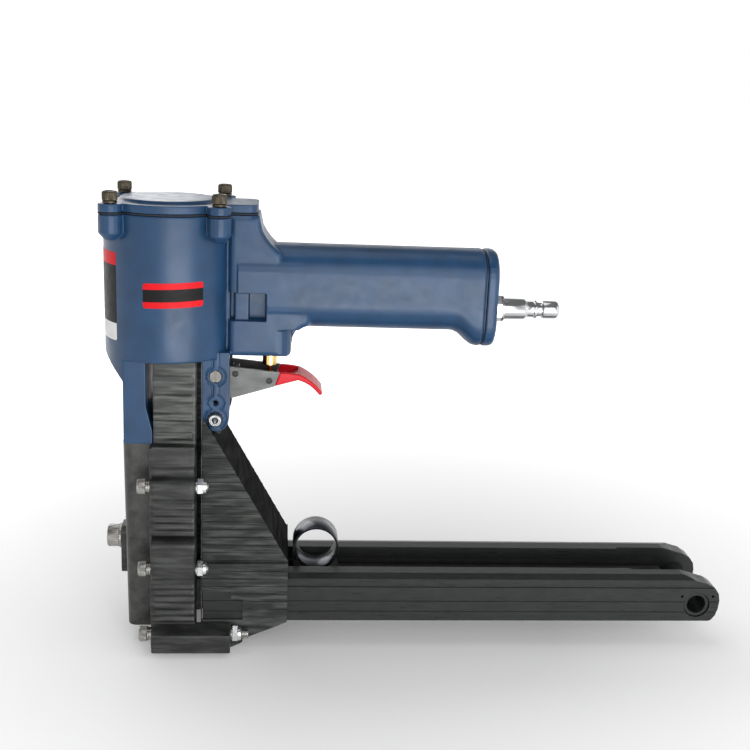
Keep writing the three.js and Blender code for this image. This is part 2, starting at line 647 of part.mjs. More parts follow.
function plugBody() {
  const face = handle.end + endCap.gasket + 3 * clearance + endCap.thickness + endCap.dome;
  const hexEnd = face + plug.hexLength;
  const flangeEnd = hexEnd + plug.flangeLength;
  const bodyEnd = flangeEnd + plug.bodyLength;
  const plugEnd = face + plug.length;
  const tipStart = plugEnd - plug.tipLength;
  const { body, neck: throat, groove, head, bore, thread, threadLength, flange } = plug;
  const turned = turnedX([
    [bore, face - threadLength], [thread, face - threadLength], [thread, face], [body, face],
    [body, hexEnd], [flange, hexEnd], [flange, flangeEnd], [body, flangeEnd + clearance], [body, bodyEnd],
    [groove, bodyEnd + clearance], [groove, tipStart - throat * 2 / 3], [throat, tipStart - throat / 2],
    [throat, tipStart - throat / 4], [head, tipStart], [head, plugEnd - throat / 2],
    [head - throat / 4, plugEnd], [bore, plugEnd], [bore, face - threadLength],
  ], 0, plug.height, turns.normal);
  const hex = barX(plug.hexRadius, face, hexEnd, 0, plug.height, hexSides);
  return turned.add(cut(hex, barX(thread, face - overrun, hexEnd + overrun, 0, plug.height, turns.normal)));
}

function sleeveBody() {
  const top = barrelTop + cap.gasket - clearance;
  const outer = boreRadius - clearance;
  const inner = outer - sleeve.wall;
  const bottom = sleeve.bottom + clearance;
  return turnedZ([[inner, bottom], [outer, bottom], [outer, top], [inner, top], [inner, bottom]]);
}

const pistonRadius = boreRadius - 2 * clearance - sleeve.wall;
const pistonTop = barrelTop - 2 * cap.gasket;
const pistonBottom = pistonTop - piston.height;
const ringHeight = pistonBottom + piston.height / 2;

function pistonBody() {
  const { rodRadius, rodLength, oRing, ringDepth } = piston;
  return turnedZ([
    [0, pistonBottom - rodLength], [rodRadius, pistonBottom - rodLength], [rodRadius, pistonBottom],
    [pistonRadius, pistonBottom],
    [pistonRadius, ringHeight - oRing], [pistonRadius - 2 * ringDepth, ringHeight - oRing],
    [pistonRadius - 2 * ringDepth, ringHeight + oRing], [pistonRadius, ringHeight + oRing],
    [pistonRadius, pistonTop], [0, pistonTop],
  ]);
}

function oRingBody() {
  const middle = pistonRadius - piston.ringDepth + clearance / 2;
  const thick = piston.ringDepth - clearance / 2;
  const profile = [];
  for (let i = 0; i <= turns.coarse; i += 1) {
    const angle = (2 * Math.PI * i) / turns.coarse;
    profile.push([middle + thick * Math.cos(angle), ringHeight + thick * Math.sin(angle)]);
  }
  return turnedZ(profile);
}

function bumperBody() {
  const outer = pistonRadius - 2 * clearance;
  const bottom = sleeve.bottom + clearance;
  const top = pistonBottom - strokeLength - clearance;
  return turnedZ([
    [bumper.hole, bottom], [outer, bottom], [outer, top - bumper.drop], [outer - bumper.drop, top],
    [bumper.hole, top],
    [bumper.hole, bottom],
  ]);
}

// The driver blade hangs in the slotted rod and runs down to the staple
function driverBody() {
  const half = stapleCrown / 2 - clearance;
  const { thickness, bottom, grip } = driver;
  const rodEnd = pistonBottom - piston.rodLength;
  const stemHalf = piston.rodRadius - 2 * clearance;
  const wide = block(-thickness / 2, thickness / 2, -half, half, bottom, nose.top - grip);
  return wide.add(block(-thickness / 2, thickness / 2, -stemHalf, stemHalf, bottom + grip,
    rodEnd - clearance));
}

// Brass trigger valve, pressed up into the valve block, with its stem
function valveBody() {
  const { x, radius, bottom, bodyRadius, depth, bore } = valve;
  const top = valveBlock.bottom + depth - clearance;
  const collar = valveBlock.bottom - clearance;
  return turnedZ([
    [bore, bottom], [radius - clearance, bottom], [radius, bottom + clearance], [radius, collar],
    [bodyRadius, collar],
    [bodyRadius, top], [bore, top], [bore, bottom],
  ], x, 0, turns.normal);
}

function valveStemBody() {
  const { x, bottom, stem, stemTip, depth } = valve;
  const foot = stemFoot();
  const top = valveBlock.bottom + depth - stemTip - clearance;
  const profile = [[0, foot], [stem - clearance, foot], [stem, bottom - clearance], [stem, top], [0, top]];
  return turnedZ(profile, x, 0, turns.coarse);
}

// The lever's top sheet at one place along it
function leverTop(x) {
  const { front, crest, top, topEnd } = trigger;
  return top + ((topEnd - top) * (x - front)) / (crest - front);
}

function stemFoot() {
  return triggerPins.rearZ + triggerPins.radius + clearance;
}

// The inside of the lever's floor at one place along it
function leverFloor(x) {
  const { plateStart, plateEnd, deepest, rearDepth, sheet } = trigger;
  return deepest + sheet + ((rearDepth - deepest) * (x - plateStart)) / (plateEnd - plateStart);
}

// The pressed sheet lever: a channel open upwards, hooked on its pivot at the front
function triggerLeverBody() {
  const { front, plateStart, plateEnd, deepest, rearDepth, halfWidth, sheet, lugRound, crest,
    seam } = trigger;
  const side = [
    [front, leverTop(front)], [crest - seam, leverTop(crest)], [plateEnd - seam, rearDepth],
    [plateStart, deepest],
    [front + lugRound, pivotHole.height - 2 * lugRound], [front, pivotHole.height - lugRound],
  ];
  const outer = plateY(side, -halfWidth, halfWidth);
  const through = halfWidth + sheet;
  const hollow = plateY([
    [front - overrun, leverTop(front) + overrun], [crest + overrun, leverTop(crest) + overrun],
    [crest + overrun, leverFloor(crest + overrun)], [plateStart + sheet, leverFloor(plateStart + sheet)],
    [plateStart + sheet, deepest - overrun], [front - overrun, deepest - overrun],
  ], -halfWidth + sheet, halfWidth - sheet);
  const pinHole = (x, z) => barY(triggerPins.radius + clearance / 2, -through, through, x, z, turns.coarse);
  return cut(outer, hollow, pinHole(triggerPins.frontX, triggerPins.frontZ),
    pinHole(triggerPins.rearX, triggerPins.rearZ),
    barY(pivotHole.radius + clearance, -through, through, ear.centre, pivotHole.height, turns.normal));
}

// The dipped finger rest: a curved channel that runs down to a rounded tip
function fingerRestBody() {
  const { crest, tip, tipHeight, halfWidth, sheet, rearDepth, plateEnd, underCrest, underHeight, bendX,
    bendZ, dip, seam } = trigger;
  const shape = new THREE.Shape();
  shape.moveTo(plateEnd + seam, rearDepth);
  shape.lineTo(crest + seam, leverTop(crest));
  shape.quadraticCurveTo((crest + bendX) / 2, leverTop(crest), bendX, bendZ);
  shape.quadraticCurveTo((bendX + tip) / 2 + sheet, (bendZ + tipHeight) / 2 + sheet, tip + dip,
    tipHeight + dip);
  shape.quadraticCurveTo(tip + dip, tipHeight - dip, tip - dip, tipHeight - dip);
  shape.quadraticCurveTo((underCrest + tip) / 2 + dip, (underHeight + tipHeight) / 2 + sheet, underCrest,
    underHeight);
  const outer = softPlateY(shape, -halfWidth, halfWidth, dip);
  const inner = plateY([
    [plateEnd - overrun, leverTop(crest) + overrun], [underCrest, leverTop(crest) + overrun],
    [underCrest, leverFloor(underCrest)], [plateEnd - overrun, leverFloor(plateEnd - overrun)],
  ], -halfWidth + sheet, halfWidth - sheet);
  return cut(outer, inner);
}

function crossPinBody(radius, half, x, z, slot) {
  const pin = barY(radius, -half, half, x, z, turns.coarse);
  if (!slot) return pin;
  const slots = bothSides((side) => {
    const [y0, y1] = span(side, half - slot, half + overrun);
    return block(x - slot / 2, x + slot / 2, y0, y1, z - overrun, z + overrun);
  });
  return cut(pin, ...slots);
}

// A socket head bolt along X with its head to the front, and a nut along X
function boltX(x0, x1, y, z) {
  const { head, headHeight, shank, socket, collar, headCollar } = m6;
  const seat = x0 + headHeight;
  const bolt = turnedX([
    [0, x0], [head - clearance, x0], [head, x0 + clearance], [head, seat], [collar, seat],
    [collar, seat + headCollar],
    [shank, seat + headCollar], [shank, x1], [0, x1],
  ], y, z, turns.coarse);
  return cut(bolt, barX(socket, x0 - overrun, x0 + headHeight / 2, y, z, hexSides));
}

function nutX(x0, y, z) {
  const { shank, nutRadius, nutHeight, collar, nutCollar } = m6;
  const [start, end] = [x0 + nutCollar, x0 + nutCollar + nutHeight];
  const bore = shank + clearance / 2;
  const round = turnedX([
    [bore, x0], [collar, x0], [collar, start], [nutRadius - clearance, start],
    [nutRadius + clearance, start + 2 * clearance],
    [nutRadius + clearance, end - 3 * clearance], [nutRadius - 2 * clearance, end], [bore, end], [bore, x0],
  ], y, z, turns.normal);
  return barX(nutRadius, x0, end, y, z, hexSides).intersect(round);
}

function bossBody(side, spot) {
  const { rear, height, above, below } = spot;
  const start = nose.columnFront - bossEdge.front;
  const inner = frontPlate.halfWidth + 2 * frontPlate.bossGap;
  const [bottom, top] = [height - below, height + above];
  if (spot !== lowerBoss) {
    return plateX(roundRect(...span(side, inner, bossEdge.outer), bottom, top, bossEdge.round), start,
      rear);
  }
  const { outer, fall, chamferY, chamferZ, chamferFront, chamferRear } = soleEdge;
  const section = [
    [inner, 0], [outer - chamferY, 0], [outer, chamferZ], [outer, top - fall], [nose.outer, top],
    [inner, top],
  ].map(([y, z]) => [side * y, z]);
  const outline = [
    [start + chamferFront, 0], [rear - chamferRear, 0], [rear, chamferRear], [rear, top], [start, top],
    [start, chamferFront],
  ];
  const far = outer + overrun;
  const bar = plateX(side > 0 ? section : section.toReversed(), start, rear);
  return bar.intersect(plateY(outline, -far, far));
}

// A ribbed casting beside the driver, with three long bolt bosses on its outside
function sideCastingBody(side) {
  const { columnFront, rear: columnRear, outer, upperOuter, inner, stepHeight, top } = nose;
  const slab = (x0, x1, near, far, z0, z1) => block(x0, x1, ...span(side, near, far), z0, z1);
  const strip = (face, x1, z1, width, height) => (
    slab(columnFront + clearance, x1, face - height, face + height, z1 - width, z1));
  const ribs = [];
  for (let i = 0; i < strips.count; i += 1) {
    ribs.push(strip(upperOuter, columnRear - strips.width / 2, top - strips.drop - i * strips.pitch,
      strips.width, strips.height));
  }
  for (let z = stepHeight - strips.fineDrop; z > strips.finePitch; z -= strips.finePitch) {
    ribs.push(strip(outer, columnRear - clearance, z, strips.fineWidth, strips.fine));
  }
  const body = join(
    slab(columnFront, columnRear, inner, outer, 0, stepHeight),
    slab(columnFront, columnRear, inner, upperOuter, stepHeight - clearance, top),
    slab(columnFront - bossEdge.flange, columnFront + clearance, frontPlate.halfWidth + frontPlate.bossGap,
      outer, 0, frontPlate.top),
    ...ribs, ...boltBosses.map((spot) => bossBody(side, spot)),
  );
  const rearClear = bracket.inner + bracket.thickness + bracket.rib + clearance;
  const behind = slab(columnRear, columnRear + 2 * overrun, 0, rearClear, -overrun, stepHeight);
  const swing = clincher.toeY + clincher.foot + clincher.room;
  const bay = slab(columnFront - overrun, clincher.rear + clincher.footDepth + clincher.room, 0, swing,
    -overrun,
    clincher.pivotZ + clincher.hub + clincher.room);
  const seats = boltBosses.map(({ height }) => (
    barX(m6.head + 2 * clearance, columnFront - overrun, columnFront - bossEdge.front, side * bossY, height)));
  const holes = boltBosses.map(({ height }) => (
    barX(m6.shank + clearance, columnFront - overrun, columnRear + 2 * overrun, side * bossY, height,
      turns.coarse)));
  return cut(body, behind, bay, ...seats, ...holes);
}

function frontPlateBody() {
  const { front, rear, bottom, top, halfWidth, round, slotHeight, slotHalf, leanShare } = frontPlate;
  const section = (z) => {
    const edge = front - (z - slotHeight) * leanShare;
    const plan = new THREE.Shape();
    plan.moveTo(rear, -halfWidth);
    plan.lineTo(rear, halfWidth);
    plan.lineTo(edge + round, halfWidth);
    plan.absarc(edge + round, halfWidth - round, round, Math.PI / 2, Math.PI);
    plan.absarc(edge + round, round - halfWidth, round, Math.PI, 1.5 * Math.PI);
    return plan.getPoints(turns.corner).map(({ x, y }) => [x, y, z]);
  };
  const slotRadius = depthStop.shank + clearance;
  const slot = join(
    block(front - overrun, rear + overrun, -slotRadius, slotRadius, slotHeight - slotHalf,
      slotHeight + slotHalf),
    barX(slotRadius, front - overrun, rear + overrun, 0, slotHeight - slotHalf, turns.coarse),
    barX(slotRadius, front - overrun, rear + overrun, 0, slotHeight + slotHalf, turns.coarse),
  );
  const trapReach = slotHalf + depthStop.headRadius + clearance;
  const trapHalf = depthStop.headRadius + clearance;
  const trap = block(rear - depthStop.plate, rear + overrun, -trapHalf, trapHalf, slotHeight - trapReach,
    slotHeight + trapReach);
  const pinHoles = bothSides((side) => (
    barX(clincher.pin + clearance / 2, rear - 2 * clincher.thickness, rear + overrun,
      side * clincher.pivotY, clincher.pivotZ, turns.coarse)));
  return cut(loft([section(bottom), section(top)]), slot, trap, ...pinHoles);
}

// A hooked arm that swings under the staple and folds one leg over
function clincherBody(side) {
  const { pivotY, pivotZ, hub, pin, toeY, toeZ, thickness, rear, arm, foot, footDepth,
    toeShare } = clincher;
  const front = rear - thickness;
  const length = Math.hypot(toeY - pivotY, toeZ - pivotZ);
  const across = [((pivotZ - toeZ) / length) * arm, ((toeY - pivotY) / length) * arm];
  const bar = plateX([
    [side * (pivotY - across[0]), pivotZ - across[1]], [side * (pivotY + across[0]), pivotZ + across[1]],
    [side * (toeY + across[0] * toeShare), toeZ + across[1] * toeShare],
    [side * (toeY - across[0] * toeShare), toeZ - across[1] * toeShare],
  ], front, rear);
  const body = join(
    bar,
    barX(hub, front, rear, side * pivotY, pivotZ, turns.normal),
    barX(foot, front, rear + footDepth, side * toeY, toeZ, turns.coarse),
  );
  return cut(body, barX(pin + clearance / 2, front - overrun, rear + overrun, side * pivotY, pivotZ,
    turns.coarse));
}

function clincherPinBody(side) {
  const { pin, rear, pivotY, pivotZ, thickness } = clincher;
  return barX(pin, frontPlate.rear - 2 * thickness + clearance, rear + clearance, side * pivotY, pivotZ,
    turns.coarse);
}

// The depth stop: a slotted plate on the front, clamped by one socket head bolt
const stopPlateFront = frontPlate.front - clearance - depthStop.plate;
const stopWasherFront = stopPlateFront - clearance - depthStop.washer;

function stopPlateBody() {
  const { plate, plateDown, plateUp, plateHalf, shank } = depthStop;
  const z = frontPlate.slotHeight;
  const sheet = plateX(roundRect(-plateHalf, plateHalf, z - plateDown, z + plateUp, plateHalf / 2),
    stopPlateFront, stopPlateFront + plate);
  return cut(sheet, barX(shank + clearance, stopPlateFront - overrun, stopPlateFront + overrun, 0, z,
    turns.coarse));
}

function stopWasherBody() {
  const { washer, washerRadius, shank } = depthStop;
  const x1 = stopWasherFront + washer;
  return turnedX([
    [shank + clearance, stopWasherFront], [washerRadius, stopWasherFront], [washerRadius, x1],
    [shank + clearance, x1],
    [shank + clearance, stopWasherFront],
  ], 0, frontPlate.slotHeight, turns.normal);
}

function stopBoltBody() {
  const { head, headRadius, shank, plate } = depthStop;
  const x0 = stopWasherFront - clearance - head;
  const z = frontPlate.slotHeight;
  const bolt = turnedX([
    [0, x0], [headRadius - clearance, x0], [headRadius, x0 + clearance], [headRadius, x0 + head],
    [shank, x0 + head],
    [shank, frontPlate.rear - plate / 2], [0, frontPlate.rear - plate / 2],
  ], 0, z, turns.normal);
  return cut(bolt, barX(headRadius / 2, x0 - overrun, x0 + head / 2, 0, z, hexSides));
}

function stopNutBody() {
  const { headRadius, plate, shank } = depthStop;
  const z = frontPlate.slotHeight;
  const half = headRadius - clearance;
  const x1 = frontPlate.rear - clearance;
  const x0 = x1 - plate + 2 * clearance;
  const nut = block(x0, x1, -half, half, z - half, z + half);
  return cut(nut, barX(shank + clearance / 2, x0 - overrun, x1 + overrun, 0, z, turns.normal));
}

// One ribbed cheek of the bracket: wide over the rail, stepped in above it, with two windows at the foot
function bracketCheek(side) {
  const { front, inner, upperInner, thickness, rib, ribPitch, ribWidth, rear, top, rearTop, ledge, tail,
    footEnd } = bracket;
  const { firstRib, ribEdge, frontGap } = bracket;
  const lower = [[front, 0], [footEnd, 0], [rear, tail], [rear, rearTop], [front, rearTop]];
  const upper = [[front, rearTop - ledge], [rear, rearTop - ledge], [rear, rearTop], [front + ribEdge, top],
    [front, top]];
  const layer = (outline, near, far) => plateY(outline, ...span(side, near, far));
  const sheets = join(
    layer(lower, inner, inner + thickness),
    layer(upper, upperInner, upperInner + thickness),
    block(front, rear, ...span(side, upperInner, inner + thickness), rearTop - ledge, rearTop),
  );
  const ribs = [];
  for (let z = firstRib; z < top; z += ribPitch) {
    const below = z + ribWidth < rearTop;
    const outline = below ? lower : upper;
    const face = (below ? inner : upperInner) + thickness;
    const bar = block(front, rear, ...span(side, face - rib, face + rib), z, z + ribWidth);
    ribs.push(bar.intersect(layer(outline, face - rib, face + rib)));
  }
  const [y0, y1] = span(side, upperInner - rib, inner + overrun);
  const [g0, g1] = span(side, inner + thickness - rib, inner + overrun);
  const [h0, h1] = span(side, upperInner + thickness - rib, inner + overrun);
  return cut(
    join(sheets, ...ribs),
    block(front + frontGap, footEnd - rib, y0, y1, tail + ribWidth, tail + 4 * ribPitch),
    block(footEnd - 2 * rib, footEnd + ribPitch + ribWidth, y0, y1, tail + ribWidth, tail + 3 * ribPitch),
    block(front - rib, front + frontGap, g0, g1, tail, rearTop),
    block(front - rib, front + frontGap, h0, h1, rearTop, top),
  );
}

// The slanted lower edge of a cheek
function soleBevel(side) {
  const { inner, thickness, rib, tail, ribWidth, bevel, bevelStart, rear } = bracket;
  const outer = inner + thickness;
  const top = tail - ribWidth;
  const section = [
    [outer, top], [outer - bevel, -rib], [outer + overrun, -rib], [outer + overrun, top],
  ].map(([y, z]) => [side * y, z]);
  return plateX(side > 0 ? section.toReversed() : section, bevelStart, rear + overrun);
}

// The magazine bracket: two ribbed cheeks, a sloped web between them and a lug held between the ears
function bracketBody() {
  const { front, inner, thickness, rear, top, rearTop, tail, footEnd, web, lugHalf, lugRadius, ribEdge,
    upperInner } = bracket;
  const fall = (top - rearTop) / (rear - front - ribEdge);
  const depth = web * Math.hypot(1, fall);
  const slopeHalf = upperInner + thickness / 2;
  const slope = plateY([
    [rear, rearTop], [front + ribEdge, top], [front + ribEdge, top - depth],
    [rear - ribEdge, rearTop - depth + ribEdge * fall],
    [rear - ribEdge, rail.top + ribEdge], [rear, rail.top + ribEdge],
  ], -slopeHalf, slopeHalf);
  const soleHalf = inner + thickness / 2;
  const sole = plateY([
    [rail.start, 0], [footEnd, 0], [rear, tail - clearance], [rail.start, tail - clearance],
  ], -soleHalf, soleHalf);
  const lug = join(
    barY(lugRadius, -lugHalf, lugHalf, ear.centre, lugHole.height, turns.normal),
    plateY([
      [ear.centre - lugRadius, lugHole.height], [ear.centre + lugRadius, lugHole.height],
      [ear.centre + lugRadius / 3, lugHole.height - 1.5 * lugRadius],
      [ear.centre - lugRadius, lugHole.height - lugRadius],
    ], -lugHalf, lugHalf),
  );
  const room = ear.halfWidth + 2 * clearance;
  const earRoom = bothSides((side) => {
    const [y0, y1] = span(side, lugHalf, upperInner - clearance);
    return join(
      barY(room, y0, y1, ear.centre, lugHole.height, turns.normal),
      block(front - overrun, ear.centre + room, y0, y1, lugHole.height, top + overrun),
    );
  });
  const columnRoom = block(front - overrun, front, -inner - overrun, inner + overrun, -overrun,
    top + overrun);
  const bore = barY(lugHole.radius + clearance, -inner, inner, ear.centre, lugHole.height, turns.coarse);
  const bevels = bothSides(soleBevel);
  return cut(join(...bothSides(bracketCheek), slope, sole, lug), ...earRoom, ...bevels, columnRoom, bore);
}

// The bolt through both ears and the bracket lug, with a toothed washer under its nut
function bracketBoltBody() {
  const seat = ear.outer + clearance;
  const tail = -seat - lugNut.washer - lugNut.length;
  const bolt = join(
    barY(lugHole.radius, tail, seat + m6.headHeight / 2, ear.centre, lugHole.height, turns.coarse),
    barY(m6.head, seat, seat + m6.headHeight / 2, ear.centre, lugHole.height, turns.normal),
  );
  return cut(bolt, barY(m6.shank / 2, seat + clearance, seat + overrun, ear.centre, lugHole.height,
    hexSides));
}

function toothedWasherBody() {
  const { height, radius } = lugHole;
  const { washerRadius, washer, teeth } = lugNut;
  const [y0, y1] = [-ear.outer - clearance - washer, -ear.outer - clearance];
  const notches = [];
  for (let i = 0; i < teeth; i += 1) {
    const angle = (2 * Math.PI * i) / teeth;
    const x = ear.centre + washerRadius * Math.cos(angle);
    notches.push(barY(2 * clearance, y0 - washer, y1 + washer, x, height + washerRadius * Math.sin(angle),
      hexSides));
  }
  const disc = barY(washerRadius, y0, y1, ear.centre, height, turns.normal);
  return cut(disc, barY(radius + clearance, y0 - washer, y1 + washer, ear.centre, height, turns.coarse),
    ...notches);
}

function bracketNutBody() {
  const y1 = -ear.outer - 2 * clearance - lugNut.washer;
  const y0 = y1 - lugNut.length;
  return cut(
    barY(lugNut.radius, y0, y1, ear.centre, lugHole.height, turns.normal),
    barY(lugHole.radius + clearance / 2, y0 - overrun, y1 + overrun, ear.centre, lugHole.height,
      turns.coarse),
  );
}

// A magazine rail: an extruded profile with a groove for the staple legs, rounded at its rear end
function railBody(side) {
  const { start, end, outer, lip, bottom, top, topOuter, shoulder, wallClear, grooveTop, grooveBottom,
    grooveDepth } = rail;
  const { lipThickness, holeX, holeZ, holeRadius, pinRadius, pinX, pinZ, pinDepth, lipEnd, noseLength,
    lowerLine, upperLine, line } = rail;
  const { over, soleShare, noseSlopeShare } = rail;
  const wall = stapleCrown / 2 + wallClear + clearance;
  const ledge = bottom + line * 4;
  const profile = [
    [lip, bottom], [outer, bottom],
    ...[bottom + lowerLine, bottom + upperLine].flatMap((z) => [[outer, z - line], [outer - line, z],
      [outer, z + line]]),
    [outer, grooveBottom], [outer - grooveDepth, grooveBottom], [outer - grooveDepth, grooveTop],
    [outer, grooveTop],
    [outer, topOuter], [shoulder, top - line], [shoulder - line, top], [lip, top],
    [lip, top - lipThickness],
    [wall, top - lipThickness - over], [wall, ledge + over], [lip, ledge],
  ].map(([y, z]) => [side * y, z]);
  const bar = plateX(side > 0 ? profile : profile.toReversed(), start, end);
  const middle = (top + bottom) / 2;
  const round = (top - bottom) / 2;
  const outline = new THREE.Shape();
  outline.moveTo(start - over, bottom - over);
  outline.lineTo(end - round * soleShare, bottom - over);
  outline.quadraticCurveTo(end, bottom + over, end, middle - over);
  outline.quadraticCurveTo(end, top - round * noseSlopeShare, end - round,
    top - round * noseSlopeShare / 2);
  outline.quadraticCurveTo(end - noseLength * noseSlopeShare * 2, top, end - noseLength, top + over);
  outline.lineTo(start - over, top + over);
  const ends = plateY(outline, -outer - overrun, outer + overrun);
  const [n0, n1] = span(side, lip - overrun, wall);
  const [p0, p1] = span(side, outer - pinDepth, outer + overrun);
  return cut(
    bar.intersect(ends),
    block(lipEnd, end + overrun, n0, n1, top - lipThickness - over, top + overrun),
    barY(holeRadius, -outer - overrun, outer + overrun, holeX, holeZ, turns.normal),
    ...[-pinX, pinX].map((x) => barY(pinRadius, p0, p1, holeX + x, holeZ + pinZ, turns.coarse)),
  );
}

// The bar that the staples ride on, hollow from below
function coreBody() {
  const { half, top, wall, front } = core;
  const bottom = rail.bottom + clearance;
  const end = rail.holeX - rail.holeRadius - core.wall;
  const bar = block(front, end, -half + clearance / 2, half - clearance / 2, bottom, top);
  return cut(bar, block(front + 2 * wall, end - 2 * wall, -half + wall, half - wall, bottom - overrun,
    top - wall));
}

// The cross tube that holds the rails apart at their rear end
function spacerBody() {
  const half = rail.outer - spacer.inset;
  const radius = rail.holeRadius - clearance;
  return cut(
    barY(radius, -half, half, rail.holeX, rail.holeZ, turns.normal),
    barY(radius - spacer.wall, -half - overrun, half + overrun, rail.holeX, rail.holeZ, turns.normal),
  );
}

// The pusher: a plate on the core with skirts behind the staple legs and a cradle for the spring
function pusherBody() {
  const { start, end, plate, skirt, post, postFront, postRear, postRise } = pusher;
  const bottom = core.top + clearance;
  const half = stapleCrown / 2;
  const top = bottom + plate;
  const skirts = bothSides((side) => block(start, start + 2 * skirt,
    ...span(side, core.half + clearance, half), bottom - skirt, top));
  const coilRoom = barY(spring.outer + spring.seat, -half, half, spring.x, coilHeight, turns.fine);
  const cradle = block(spring.x - postFront, spring.x + postRear, -post, post, bottom,
    top + postRise).subtract(coilRoom);
  return join(block(start, end, -half, half, bottom, top), cradle, ...skirts);
}

const coilFloor = core.top + clearance + pusher.plate + clearance;
const coilHeight = coilFloor + spring.bend + spring.outer + spring.strip;

// The path of the strip: a spiral that grows outwards, then a straight run down and a bend to the nose
function springPath() {
  const { x, outer, strip, layer, turnCount, stepCount, tail, bend } = spring;
  const path = [];
  const total = Math.round(turnCount * stepCount);
  for (let i = 0; i <= total; i += 1) {
    const left = (total - i) / stepCount;
    const angle = Math.PI - 2 * Math.PI * left;
    const radius = outer - strip / 2 - layer * left;
    path.push([x + radius * Math.cos(angle), coilHeight + radius * Math.sin(angle)]);
  }
  const fall = x - outer + strip / 2;
  const floor = coilFloor + strip / 2 + clearance / 2;
  for (let i = 0; i <= turns.corner; i += 1) {
    const angle = (Math.PI / 2) * (i / turns.corner);
    path.push([fall - bend * (1 - Math.cos(angle)), floor + bend - bend * Math.sin(angle)]);
  }
  path.push([fall - bend - tail, floor]);
  return path;
}

// The least gap between two turns of the strip, measured on the path's own points
function leastGap(path) {
  let least = Infinity;
  for (let i = 0; i < path.length; i += 1) {
    for (let j = i + spring.stepCount / 2; j < path.length; j += 1) {
      least = Math.min(least, Math.hypot(path[i][0] - path[j][0], path[i][1] - path[j][1]) - spring.strip);
    }
  }
  return least;
}

function springBody() {
  const path = springPath();
  console.log(`least gap in the roll spring ${leastGap(path).toFixed(2)} mm`);
  const half = spring.width / 2;
  const rings = path.map(([x, z], i) => {
    const [x0, z0] = path[Math.max(i - 1, 0)];
    const [x1, z1] = path[Math.min(i + 1, path.length - 1)];
    const length = Math.hypot(x1 - x0, z1 - z0);
    const nx = (-(z1 - z0) / length) * (spring.strip / 2);
    const nz = ((x1 - x0) / length) * (spring.strip / 2);
    return [[x + nx, -half, z + nz], [x + nx, half, z + nz], [x - nx, half, z - nz],
      [x - nx, -half, z - nz]];
  });
  return loft(rings);
}

keep('housing', housingBody(), paint);
keep('cylinder_cap', capBody(), paint);
keep('cap_gasket', capGasketBody(), rubberTone);
for (const [place, x, y] of screwPlaces) keep(`cap_screw_${place}`, capScrewBody(x, y), steel);
keep('handle_end_cap', endCapBody(), paint);
keep('handle_gasket', endGasketBody(), rubberTone);
keep('air_plug', plugBody(), bright);
keep('cylinder_sleeve', sleeveBody(), bright);
keep('piston', pistonBody(), bright);
keep('piston_o_ring', oRingBody(), rubberTone);
keep('driver_blade', driverBody(), steel);
keep('piston_bumper', bumperBody(), rubberTone);
keep('trigger_valve', valveBody(), brassTone);
keep('valve_stem', valveStemBody(), brassTone);
keep('trigger_lever', triggerLeverBody(), blackCast);
keep('finger_rest', fingerRestBody(), redDip);
keep('trigger_pivot_pin', crossPinBody(pivotHole.radius - clearance / 2, ear.outer, ear.centre,
  pivotHole.height, pivotHole.slot), steel);
const pinHalf = trigger.halfWidth - trigger.pinInset;
keep('trigger_pin_front', crossPinBody(triggerPins.radius, pinHalf, triggerPins.frontX, triggerPins.frontZ,
  0), blackCast);
keep('trigger_pin_rear', crossPinBody(triggerPins.radius, pinHalf, triggerPins.rearX, triggerPins.rearZ, 0),
  blackCast);
keep('front_plate', frontPlateBody(), blackCast);
keep('depth_stop_plate', stopPlateBody(), blackCast);
keep('depth_stop_washer', stopWasherBody(), steel);
keep('depth_stop_bolt', stopBoltBody(), steel);
keep('depth_stop_nut', stopNutBody(), steel);
keep('magazine_bracket', bracketBody(), blackCast);
keep('bracket_bolt', bracketBoltBody(), bright);
keep('bracket_washer', toothedWasherBody(), steel);
keep('bracket_nut', bracketNutBody(), bright);
keep('staple_core', coreBody(), steel);
keep('rear_spacer', spacerBody(), blackRail);
keep('pusher', pusherBody(), blackCast);
keep('roll_spring', springBody(), bright);

for (const [name, side] of [['left', 1], ['right', -1]]) {
  keep(`side_casting_${name}`, sideCastingBody(side), blackCast);
  keep(`clincher_${name}`, clincherBody(side), steel);
  keep(`clincher_pin_${name}`, clincherPinBody(side), steel);
  keep(`rail_${name}`, railBody(side), blackRail);
  boltBosses.forEach(({ level, height, rear, tail }) => {
    const nutStart = rear + clearance;
    const headStart = nose.columnFront - bossEdge.front - clearance - m6.headCollar - m6.headHeight;
    const boltEnd = nutStart + m6.nutCollar + m6.nutHeight + tail;
    keep(`nose_bolt_${level}_${name}`, boltX(headStart, boltEnd, side * bossY, height), steel);
    keep(`nose_nut_${level}_${name}`, nutX(nutStart, side * bossY, height), bright);
  });
}

// The origin moves to the middle of the part's length
const frontEnd = stopWasherFront - clearance - depthStop.head;
stapler.position.x = -(frontEnd + rail.end) / 2;

export default stapler;
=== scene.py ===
from math import cos, hypot, pi, radians, sin

import bmesh
import bpy
from mathutils import Matrix, Vector


